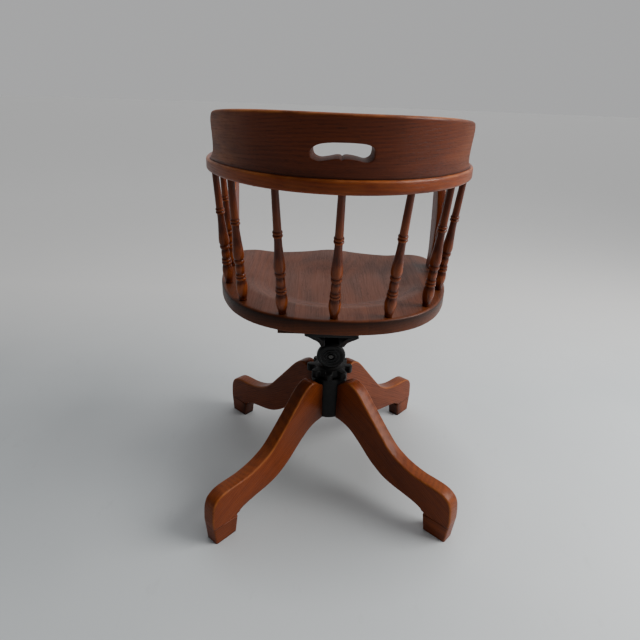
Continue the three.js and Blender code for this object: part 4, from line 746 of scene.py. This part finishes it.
def crest_points(run, height, offset):
    """Points of the rail from metres along it, above its foot and towards its rear face."""
    at = crest_length[-1] / 2 + run + CREST_SHIFT
    x, y = (np.interp(at, crest_length, crest_line[:, k]) for k in (0, 1))
    step = np.gradient(crest_line, crest_length, axis=0)
    along_x, along_y = (np.interp(at, crest_length, step[:, k]) for k in (0, 1))
    size = np.hypot(along_x, along_y)
    inset = CREST_SETBACK + CREST_THICKNESS / 2 - offset
    return np.stack([
        x + along_y / size * inset,
        y - along_x / size * inset + height * math.tan(CREST_LEAN),
        CREST_BOTTOM + height,
    ], -1)


def crest_shares_at(points):
    """Metres along the rail, above its foot and towards its rear face, of points near it."""
    height = points[:, 2] - CREST_BOTTOM
    flat = points[:, :2] - np.stack([np.zeros(len(points)), height * math.tan(CREST_LEAN)], 1)
    nearest = np.argmin(np.linalg.norm(flat[:, None] - crest_line[None, ::4], axis=2), axis=1) * 4
    away = np.linalg.norm(flat - crest_line[nearest], axis=1)
    run = crest_length[nearest] - crest_length[-1] / 2 - CREST_SHIFT
    return run, height, CREST_SETBACK + CREST_THICKNESS / 2 - away


def crest_board():
    flare = spline(crest_flare_shares, 27)
    tops = CREST_EDGE / CREST_HEIGHT
    quarter = np.linspace(0, math.pi / 2, 7)[1:]
    height_shares = np.concatenate([np.linspace(0, 1 - tops, 22), 1 - tops + tops * np.sin(quarter)])
    round_off = 1 - np.sqrt(np.maximum(1 - ((height_shares - 1 + tops) / tops) ** 2, 0))
    thick = np.where(height_shares > 1 - tops, 1 - 0.58 * round_off, 1)
    flares = np.interp(height_shares, flare[:, 0], flare[:, 1])
    half = [(s, 1.0) for s in np.linspace(0, 1 - CREST_END_EDGE, 48)]
    half += [(1 - CREST_END_EDGE * (1 - math.sin(a)), 0.6 + 0.4 * math.cos(a)) for a in quarter]
    shares, end_thick = np.array([(-s, t) for s, t in half[:0:-1]] + half).T
    drop = CREST_END_DROP * np.abs(shares) ** 3 - CREST_TILT * shares
    points = []
    for face in (1, -1):
        for h, f, t in zip(height_shares, flares, thick):
            run = shares * (CREST_HALF_RUN + f * CREST_FLARE)
            offset = face * CREST_THICKNESS / 2 * t * end_thick
            points.append(crest_points(run, h * (CREST_HEIGHT - drop), offset))
    rear, front = np.arange(2 * len(thick) * len(shares)).reshape(2, len(thick), len(shares))
    faces = strips(rear) + strips(front[:, ::-1])
    faces += strips(np.stack([front[:, 0], rear[:, 0]], 1)) + strips(np.stack([rear[:, -1], front[:, -1]], 1))
    faces += strips(np.stack([rear[0, ::-1], front[0, ::-1]])) + strips(np.stack([rear[-1], front[-1]]))
    return np.vstack(points), faces


def slot_cutter():
    """The slot's prism, square to the rail and wider at each face so that its edges come out rounded."""
    outline = loop(slot_shares, 5) * [SLOT_HALF_LENGTH, SLOT_HEIGHT]
    outward = outward_normals(outline)
    half = CREST_THICKNESS / 2
    steps = [(half + 0.01, SLOT_EDGE * 2), (half, SLOT_EDGE)]
    for a in (0.5, 1.0, math.pi / 2):
        steps.append((half - SLOT_EDGE * (1 - math.cos(a)), SLOT_EDGE * (1 - math.sin(a))))
    steps += [(-offset, grow) for offset, grow in steps[::-1]]
    lean, square = math.sin(CREST_LEAN), math.cos(CREST_LEAN)
    points = []
    for offset, grow in steps:
        ring = outline + outward * grow
        height = SLOT_FLOOR + ring[:, 1] * square - offset * square * lean
        points.append(crest_points(ring[:, 0] + SLOT_OFFSET, height, np.full(len(ring), offset)))
    return np.vstack(points), tube(len(steps), len(outline))


def make_crest():
    blank = add_object("crest_blank", closed_mesh("crest_blank", *crest_board()))
    cutter = add_object("slot_cutter", closed_mesh("slot_cutter", *slot_cutter()))
    cut = blank.modifiers.new("slot", "BOOLEAN")
    cut.operation, cut.object, cut.solver = "DIFFERENCE", cutter, "EXACT"
    bpy.context.view_layer.update()
    mesh = bpy.data.meshes.new_from_object(blank.evaluated_get(bpy.context.evaluated_depsgraph_get()))
    for item in (blank, cutter):
        bpy.data.objects.remove(item)
    run, height, offset = crest_shares_at(np.array([v.co for v in mesh.vertices]))
    mesh.transform(Matrix.Translation((0, AXIS_Y, 0)))
    level = height + CREST_END_DROP * (np.abs(run) / CREST_HALF_RUN) ** 3
    # The top arris is lighter, rubbed and with a painted highlight; a dark line runs along the foot where the
    # rail meets the bow; painted light and reflection lighten both ends, the +X end most.
    wear_and_shading = 0.9 * smoothstep(CREST_HEIGHT - 0.005, CREST_HEIGHT - 0.001, level)
    wear_and_shading -= 0.7 * smoothstep(0.005, 0.0, height)
    wear_and_shading += 0.1 * smoothstep(0.16, 0.26, np.abs(run)) + 0.2 * smoothstep(0.12, 0.26, run)
    write_marks(mesh, np.stack([run, height, offset], 1), wear_and_shading)
    finish_piece("crest_board", mesh, "seat", "crest_rail", OAK_DARK)


# Spindles: turned between the seat and the bow
def make_spindle(name, foot, head):
    foot, head = Vector((*foot, SEAT_TOP)), Vector((*head, BOW_BOTTOM))
    length = (head - foot).length
    outline = [[share * SPINDLE_RADIUS, (1 - down) * length] for down, share in turning_shares[::-1]]
    shape = cut_corners(outline, 2)
    radius = shape[:, 0]
    # Darker in the grooves, with soiling and painted shade, and lighter on the beads, with rubbing and a
    # painted highlight; the foot, where it enters the seat, is darker too.
    mean = np.convolve(np.pad(radius, 4, mode="edge"), np.ones(9) / 9, "valid")
    groove = np.clip((radius - mean) / 0.0006, -1, 0.8)
    profile = np.vstack([[radius[0], -SPINDLE_SET], shape, [radius[-1], length + SPINDLE_SET]])
    wear_and_shading = np.concatenate([[-0.7], groove, [-0.4]]) - 0.6 * (profile[:, 1] < 0.004)
    points, faces, index = lathe(profile, SPINDLE_SIDES)
    turn = Vector((0, 0, 1)).rotation_difference((head - foot).normalized()).to_matrix()
    placed = to_row(points @ np.array(turn).T + np.array(foot))
    grain = np.roll(points, 1, 1) + rng.uniform(-0.5, 0.5, 3) * [1, 0.05, 0.05]
    make_piece(f"{name}_turned", placed, faces, "seat", name, OAK_TURNED, grain, wear_and_shading[index])


def make_spindles():
    feet, heads = plan(spindle_foot_shares, *SEAT_PLAN), plan(spindle_head_shares, *BOW_PLAN)
    shift = np.array([CENTRE_SPINDLE_OFFSET, 0])
    make_spindle("spindle_centre", feet[0] + shift, heads[0] + shift)
    for word, foot, head in zip(("rear", "quarter", "side", "front"), feet[1:], heads[1:]):
        for side, tail in SIDES:
            make_spindle(f"spindle_{word}_{tail}", foot * [side, 1], head * [side, 1])


# Arm supports: flat cyma boards between the seat and the arms
def support_edge(shares):
    """One edge of the board as (y, z) points, let into the seat and the bow a little."""
    rise = BOW_BOTTOM - SEAT_TOP
    edge = spline([
        [SUPPORT_FOOT_CENTRE + across * SUPPORT_HALF_FOOT, SEAT_TOP + share * rise]
        for share, across in shares
    ], 44)
    foot, head = [edge[0, 0], SEAT_TOP - SPINDLE_SET], [edge[-1, 0], BOW_BOTTOM + SPINDLE_SET]
    return np.vstack([foot, edge, head])


def make_supports():
    rear, front = support_edge(support_rear_shares), support_edge(support_front_shares)
    levels = rounding(-SUPPORT_THICKNESS / 2, SUPPORT_THICKNESS / 2, SUPPORT_EDGE, 4)
    points, faces, _, _, wear_and_shading = board(rear, front, normals(rear, False), -normals(front, False), levels, 4)
    y, z, x = points.T
    wear_and_shading = 0.6 * (wear_and_shading - smoothstep(SEAT_TOP + 0.006, SEAT_TOP, z))
    for side, tail in SIDES:
        placed = to_row(np.stack([x + side * SUPPORT_MIDDLE + SUPPORT_SHIFT, y, z], 1))
        grain = np.stack([z, y, x + side * 0.2], 1)
        node = f"arm_support_{tail}"
        make_piece(f"{node}_board", placed, faces, "seat", node, OAK_BOW, grain, wear_and_shading)


# Legs, each a sawn curved board with a block glued under its foot
def leg_chains(toe_drop):
    """Top and under edges of a leg above the joint, and toe and heel of the block below it."""
    size = np.array([LEG_REACH, LEG_HEIGHT])
    joint = FOOT_BLOCK_TOP
    toe_foot, heel_foot = [leg_toe_share * LEG_REACH, 0], [leg_heel_share * LEG_REACH, 0]
    top = np.array(leg_top_shares) * size
    top[:, 1] -= toe_drop * smoothstep(0.38 * LEG_REACH, 0.7 * LEG_REACH, top[:, 0])
    top = np.vstack([spline(top, 90), toe_foot])
    under = spline(np.array(leg_under_shares) * size, 70)
    centre = np.array([leg_under_shares[-1][0] * LEG_REACH - NOTCH_RADIUS / 2, joint])
    outside = under[(np.linalg.norm(under - centre, axis=1) > NOTCH_RADIUS) & (under[:, 1] > joint)]
    start = math.atan2(*(outside[-1] - centre)[::-1])
    notch = centre + NOTCH_RADIUS * circle(np.linspace(start, 0, 7))
    low_notch = centre + NOTCH_RADIUS * circle(np.linspace(0, -1.1, 5))
    top = top[top[:, 0] > HUB_RADIUS]
    outside = outside[outside[:, 0] > HUB_RADIUS]
    above = top[top[:, 1] > joint]
    edge = np.interp(joint, top[::-1, 1][:12], top[::-1, 0][:12])
    return (
        resampled(np.vstack([[HUB_RADIUS, above[0][1] - 0.0015], above, [edge, joint]]), 110),
        resampled(np.vstack([[HUB_RADIUS, outside[0][1]], outside[:-1], notch]), 110),
        resampled(np.array([[edge, joint], toe_foot]), 12),
        resampled(np.vstack([low_notch, heel_foot]), 12),
    )


def leg_marks(x, y, z, across, wear_and_shading):
    """Grain that slants down the leg, rubbing and a painted highlight on its upper edges and top, painted
    shade at the hub, and a dark line at the joint.
    """
    c, s = math.cos(LEG_SLANT), math.sin(LEG_SLANT)
    rubbed_and_highlit_top = (across < 0.02) & (np.abs(y) < LEG_THICKNESS / 2 - LEG_EDGE * 0.8)
    # The top arris and the outer part of the top are lighter: rubbing and a painted highlight.
    wear_and_shading = wear_and_shading * np.where(across < 0.5, 0.75, 0.2) + 0.18 * rubbed_and_highlit_top * smoothstep(0.06, 0.16, x)
    # Painted shade on the leg near the hub, under the hand wheel.
    wear_and_shading -= 0.5 * smoothstep(HUB_RADIUS + 0.02, HUB_RADIUS, x)
    wear_and_shading -= 0.6 * smoothstep(FOOT_BLOCK_TOP + 0.0012, FOOT_BLOCK_TOP, z)
    return np.stack([x * c + z * s, z * c - x * s, y], 1), wear_and_shading


def block_marks(x, y, z, across, wear_and_shading, front):
    """Level grain, a dark line at the joint, darker at the floor, and painted shade on the heel."""
    wear_and_shading = 0.3 * wear_and_shading - 0.6 * smoothstep(FOOT_BLOCK_TOP - 0.001, FOOT_BLOCK_TOP, z)
    # Darker at the floor; painted shade on the heel's face towards the hub, strongest on the front feet.
    wear_and_shading = wear_and_shading - 0.4 * smoothstep(0.008, 0, z) - (0.8 if front else 0.15) * smoothstep(0.6, 1, across)
    return np.stack([x, z, y], 1), wear_and_shading


def make_leg(name, angle, front):
    leg_top, leg_under, toe, heel = leg_chains(TOE_DROP if front else 0.0)
    levels = rounding(-LEG_THICKNESS / 2, LEG_THICKNESS / 2, LEG_EDGE, 5)
    for kind, chain_a, chain_b in (("leg", leg_top, leg_under), ("foot_block", toe, heel)):
        points, faces, _, across, wear_and_shading = board(
            chain_a, chain_b, -normals(chain_a, False), normals(chain_b, False), levels, 5,
        )
        x, z, y = points.T
        if kind == "leg":
            near = smoothstep(HUB_RADIUS + 0.03, HUB_RADIUS, x)
            x = x - near * (HUB_RADIUS - np.sqrt(HUB_RADIUS**2 - y**2))
            grain, wear_and_shading = leg_marks(x, y, z, across, wear_and_shading)
        else:
            grain, wear_and_shading = block_marks(x, y, z, across, wear_and_shading, front)
        grain = grain + rng.uniform(-0.3, 0.3, 3) * [1, 0.1, 0.1]
        placed = to_row(np.column_stack([np.stack([x, y], 1) @ turning(angle), z]))
        node = f"{kind}_{name}"
        make_piece(f"{node}_board", placed, faces, "base", node, OAK_LEG, grain, wear_and_shading)


def make_legs():
    for index, name in enumerate(("rear_left", "rear_right", "front_right", "front_left")):
        make_leg(name, math.radians(45 + 90 * index) + BASE_TURN, name.startswith("front"))


# Star hand wheel: eight fingers on a body that stands higher round the bore
def make_wheel():
    reach = WHEEL_RADIUS - WHEEL_LOBE_RADIUS
    root = [
        [WHEEL_BODY_RADIUS - 0.001, -0.0125], [WHEEL_BODY_RADIUS - 0.0005, -WHEEL_LOBE_RADIUS - 0.0015],
        [WHEEL_BODY_RADIUS + 0.0035, -WHEEL_LOBE_RADIUS], [reach, -WHEEL_LOBE_RADIUS],
    ]
    tip = [reach, 0] + WHEEL_LOBE_RADIUS * circle(np.arange(1, 10) * math.pi / 10 - math.pi / 2)
    lobe = np.vstack([root, tip, (np.array(root) * [1, -1])[::-1]])
    turns = np.arange(WHEEL_LOBES) * 2 * math.pi / WHEEL_LOBES + WHEEL_TURN
    outline = loop(np.vstack([lobe @ turning(a) for a in turns]), 3)
    outward = outward_normals(outline)
    rings = [
        (outline - outward * inset, height)
        for inset, height, _ in rounding(WHEEL_BOTTOM, WHEEL_TOP - wheel_crown[0][1], WHEEL_EDGE, 4)
    ]
    around = circle(np.arctan2(outline[:, 1], outline[:, 0]))
    rings += [(around * radius, WHEEL_TOP - under) for radius, under in wheel_crown]
    rings.append((around * (WHEEL_BORE + SMALL_EDGE), WHEEL_TOP))
    rings += [(around * WHEEL_BORE, height) for height in (WHEEL_TOP - SMALL_EDGE, WHEEL_BOTTOM)]
    points = np.vstack([np.column_stack([flat, np.full(len(flat), height)]) for flat, height in rings])
    faces = tube(len(rings), len(outline), joined=True)
    make_piece("star_wheel_cast", to_row(points), faces, "star_wheel", "star_wheel", IRON)


# Turned and threaded pieces
def threaded(start, end, radius, pitch, depth, plain, sides, step, keyway=0.0):
    """A rod along Z with a rounded thread from start up to plain, and a keyway on its +Y side if wanted."""
    heights = np.append(np.arange(start, end, step), end)[:, None]
    angles = np.arange(sides) * 2 * math.pi / sides
    phase = (heights / pitch - angles / (2 * math.pi)) % 1.0
    ridge = np.clip(4.4 * np.abs(phase - 0.5) - 0.6, 0, 1)
    run_in = np.minimum(1.0, (heights - start) / 0.001 + 0.2)
    reach = radius - depth * (1 - ridge) * smoothstep(plain + pitch, plain, heights) * run_in
    if keyway:
        slot = (np.abs(radius * np.cos(angles)) < keyway) & (np.sin(angles) > 0)
        reach = np.where(slot, np.minimum(reach, radius - KEYWAY_DEPTH), reach)
    flat = reach[..., None] * circle(angles)
    points = np.column_stack([flat.reshape(-1, 2), np.repeat(heights, sides)])
    return points, tube(len(heights), sides)


def make_screw():
    top = screw_high.z
    shoulder = top - JOURNAL_LENGTH
    thread, _ = threaded(
        screw_low.z, shoulder, SCREW_RADIUS, SCREW_PITCH, SCREW_DEPTH, shoulder - SMALL_EDGE, SCREW_SIDES,
        THREAD_STEP, keyway=KEY_HALF_WIDTH,
    )
    journal, _, _ = lathe([
        (JOURNAL_RADIUS, shoulder), (JOURNAL_RADIUS, top - SMALL_EDGE), (JOURNAL_RADIUS - SMALL_EDGE, top),
    ], SCREW_SIDES)
    points = np.vstack([thread, journal])
    faces = tube(len(points) // SCREW_SIDES, SCREW_SIDES)
    placed = to_row(np.column_stack([points[:, :2] @ turning(BASE_TURN), points[:, 2]]))
    make_piece("screw_column_cut", placed, faces, "column", "screw_column", STEEL)


def on_bolt(points):
    """Points with Z along the tension bolt, towards the rear, moved into the row frame."""
    x, y, z = np.asarray(points, float).T
    c, s = math.cos(BOLT_SLOPE), math.sin(BOLT_SLOPE)
    return to_row(np.stack([x, BOLT_OFFSET * s + z * c + y * s, PIN_Z + BOLT_OFFSET * c - z * s + y * c], 1))


def make_bolt_and_knob():
    points, faces = threaded(
        BOLT_FRONT, BOLT_REAR, BOLT_RADIUS, BOLT_PITCH, BOLT_THREAD_DEPTH, BOLT_PLAIN, BOLT_SIDES,
        BOLT_THREAD_STEP,
    )
    make_piece("tension_bolt_cut", on_bolt(points), faces, "tension_knob", "tension_bolt", STEEL)
    bore = BOLT_RADIUS + 0.0003
    shape = cut_corners([
        [bore, KNOB_START], [KNOB_RADIUS - KNOB_EDGE, KNOB_START], [KNOB_RADIUS, KNOB_START + KNOB_EDGE],
        *[[KNOB_RADIUS - inside, KNOB_END - under] for inside, under in knob_rings],
        [bore, KNOB_END - KNOB_SINK],
    ], 2)
    points, faces, _ = lathe(shape, KNOB_SIDES, joined=True)
    make_piece("tension_knob_cast", on_bolt(points), faces, "tension_knob", "tension_knob", IRON)


def make_spring():
    """Two halves of the coil that meet at mid-length, each made fixed in the row frame."""
    steps = 26 * SPRING_TURNS
    share = np.linspace(0, 1, steps + 1)
    angle = share * SPRING_TURNS * 2 * math.pi
    run = SPRING_START + WIRE_RADIUS + share * (SPRING_END - SPRING_START - 2 * WIRE_RADIUS)
    centre = np.column_stack([SPRING_RADIUS * circle(angle), run])
    step = np.gradient(centre, axis=0)
    step /= np.linalg.norm(step, axis=1)[:, None]
    out = np.column_stack([circle(angle), np.zeros_like(angle)])
    side = np.cross(step, out)
    around = circle(np.arange(WIRE_SIDES) * 2 * math.pi / WIRE_SIDES)
    coil = centre[:, None] + WIRE_RADIUS * (around[:, :1] * out[:, None] + around[:, 1:] * side[:, None])
    middle = (SPRING_START + SPRING_END) / 2
    front, meeting, rear = (tuple(on_bolt([[0, 0, z]])[0]) for z in (SPRING_START, middle, SPRING_END))
    for tail, rows, bodies, start, end in (
        ("front", coil[:steps // 2 + 1], ("tension_nut", "seat"), front, meeting),
        ("rear", coil[steps // 2:], ("seat", "yoke"), meeting, rear),
    ):
        points, faces = on_bolt(rows.reshape(-1, 3)), tube(len(rows), WIRE_SIDES)
        piece = make_piece(f"tension_spring_{tail}", points, faces, None, "tension_spring", STEEL)
        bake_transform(piece)


# Castings and battens that keep the frame's shape, with their edges eased
def soften(node, body, material, width):
    mesh = frame["nodes"][node].data.copy()
    work = bmesh.new()
    work.from_mesh(mesh)
    bmesh.ops.remove_doubles(work, verts=work.verts, dist=1e-6)
    bmesh.ops.dissolve_limit(
        work, angle_limit=math.radians(1), verts=work.verts, edges=work.edges, delimit={"NORMAL"},
    )
    corner = math.radians(CORNER_ANGLE)
    corners = [e for e in work.edges if len(e.link_faces) == 2 and e.calc_face_angle(0) > corner]
    bmesh.ops.bevel(
        work, geom=corners, offset=width, segments=2, profile=0.6, affect="EDGES", clamp_overlap=True,
    )
    bmesh.ops.triangulate(work, faces=[f for f in work.faces if len(f.verts) > 4])
    work.to_mesh(mesh)
    work.free()
    points = np.array([v.co for v in mesh.vertices])
    write_marks(mesh, points, np.zeros(len(points)))
    finish_piece(f"{node}_eased", mesh, body, node, material, EASED_SHARP_ANGLE)


def make_castings():
    bodies = frame["record"]["behaviour"]["bodies"]
    slots = {row["node"]: row["material_slot"] for row in frame["record"]["subparts"]}
    body_of = {node: body for body, nodes in bodies.items() for node in nodes}
    for node, width, material in (
        ("hub", 0.0008, IRON), ("seat_bracket", 0.0012, IRON), ("tilt_yoke", 0.001, IRON),
        ("square_nut", 0.001, IRON), ("stop_collar", 0.0006, IRON), ("tilt_pin_collar", 0.0006, IRON),
        ("batten_rear", 0.0012, OAK_RAW), ("batten_front", 0.0012, OAK_RAW),
    ):
        soften(node, body_of[node], material, width)
    finishes = {"steel": STEEL, "iron": IRON}
    for node, item in frame["nodes"].items():
        if not item.hide_render:
            item.data.materials.clear()
            item.data.materials.append(finishes[slots[node]])


# Setting: a wide pale floor that fades into a pale room, and soft light from one side
def floor_material():
    """Faint patches and scuffs, with painted light and shade: brighter towards the window, a painted shadow
    under the chair, painted shade to the rear, and a paler floor with a painted glow where it fades out.
    """
    g = Graph(bpy.data.materials.new("pale_floor"))
    place = g.node("ShaderNodeTexCoord").outputs["Object"]
    fine = g.noise(place, 14.0, 4.0, 0.6)
    scuffs = g.range(g.noise(place, (26, 9, 9), 5.0, 0.75), 0.6, 0.72)
    color = g.mix(g.range(g.noise(place, 1.3, 3.0), 0.3, 0.7), *FLOOR_PATCHES)
    color = g.mix(g.math("MULTIPLY", scuffs, 0.12), color, FLOOR_SCUFF)
    sideways, across, _ = g.separate(place)
    # Painted light: the floor grows brighter towards the window, on the -X side.
    color = g.mix(1.0, color, g.grey(g.range(sideways, *FLOOR_SIDES, 0.9, 1.14)), "MULTIPLY")
    color = g.mix(g.range(across, *FLOOR_PALE), color, FLOOR_FRONT)
    # Painted shade on the floor behind the chair, round the camera, which darkens what the wood reflects.
    color = g.mix(g.range(across, *FLOOR_DIM, 0.0, 0.5), color, FLOOR_REAR_SHADE)
    reach = g.vector("LENGTH", place, output="Value")
    # Painted shadow under the chair.
    color = g.mix(g.range(reach, *FLOOR_UNDER, 0.5, 0.0), color, FLOOR_SHADE)
    # Painted light: far out the floor turns paler and glows, so that it meets the room without a dark band.
    far = g.range(reach, *FLOOR_FADE)
    glow = g.math("MULTIPLY", far, FLOOR_GLOW)
    return g.finish(g.mix(far, color, FLOOR_FAR), g.range(fine, 0.3, 0.7, 0.45, 0.6), fine, 0.0003, {
        "Emission Color": FLOOR_GLOW_COLOR, "Emission Strength": glow,
    })


def make_stage():
    ring = circle(np.arange(FLOOR_POINTS) * 2 * math.pi / FLOOR_POINTS)
    rows = [1.0, 3.0, 10.0, FLOOR_RADIUS]
    points = [(x, y, 0) for radius in rows for x, y in ring * radius]
    faces = [tuple(range(FLOOR_POINTS))]
    faces += [face[::-1] for face in strips(wrapped(len(rows), FLOOR_POINTS))]
    mesh = bpy.data.meshes.new("floor")
    mesh.from_pydata(points, [], faces)
    mesh.materials.append(floor_material())
    add_object("floor", mesh)


def make_light():
    """A room that is bright ahead and at the window and dim behind the camera, and two soft lights."""
    world = bpy.data.worlds.new("studio")
    bpy.context.scene.world = world
    g = Graph(world)
    way = g.node("ShaderNodeTexCoord").outputs["Generated"]
    towards = g.vector("DOT_PRODUCT", way, ROOM_BRIGHT_WAY, output="Value")
    room = g.range(towards, *ROOM_SPREAD, ROOM_DIM, ROOM_BRIGHT, interpolation_type="SMOOTHSTEP")
    seen = g.node("ShaderNodeLightPath").outputs["Is Camera Ray"]
    strength = g.node("ShaderNodeMix", {"Factor": seen, "A": room, "B": ROOM_SEEN}).outputs[0]
    background = g.node("ShaderNodeBackground", {"Color": ROOM_COLOR, "Strength": strength})
    g.node("ShaderNodeOutputWorld", {"Surface": background.outputs[0]})
    for name, place, target, size, power, color in light_rows:
        data = bpy.data.lights.new(name, "AREA")
        data.shape, data.size, data.energy, data.color = "SQUARE", size, power, color
        light = add_object(name, data)
        light.location = place
        light.rotation_mode = "QUATERNION"
        light.rotation_quaternion = (Vector(target) - Vector(place)).to_track_quat("-Z", "Y")


make_camera()
make_seat()
make_bow()
make_crest()
make_spindles()
make_supports()
make_legs()
make_wheel()
make_screw()
make_bolt_and_knob()
make_spring()
make_castings()
make_stage()
make_light()
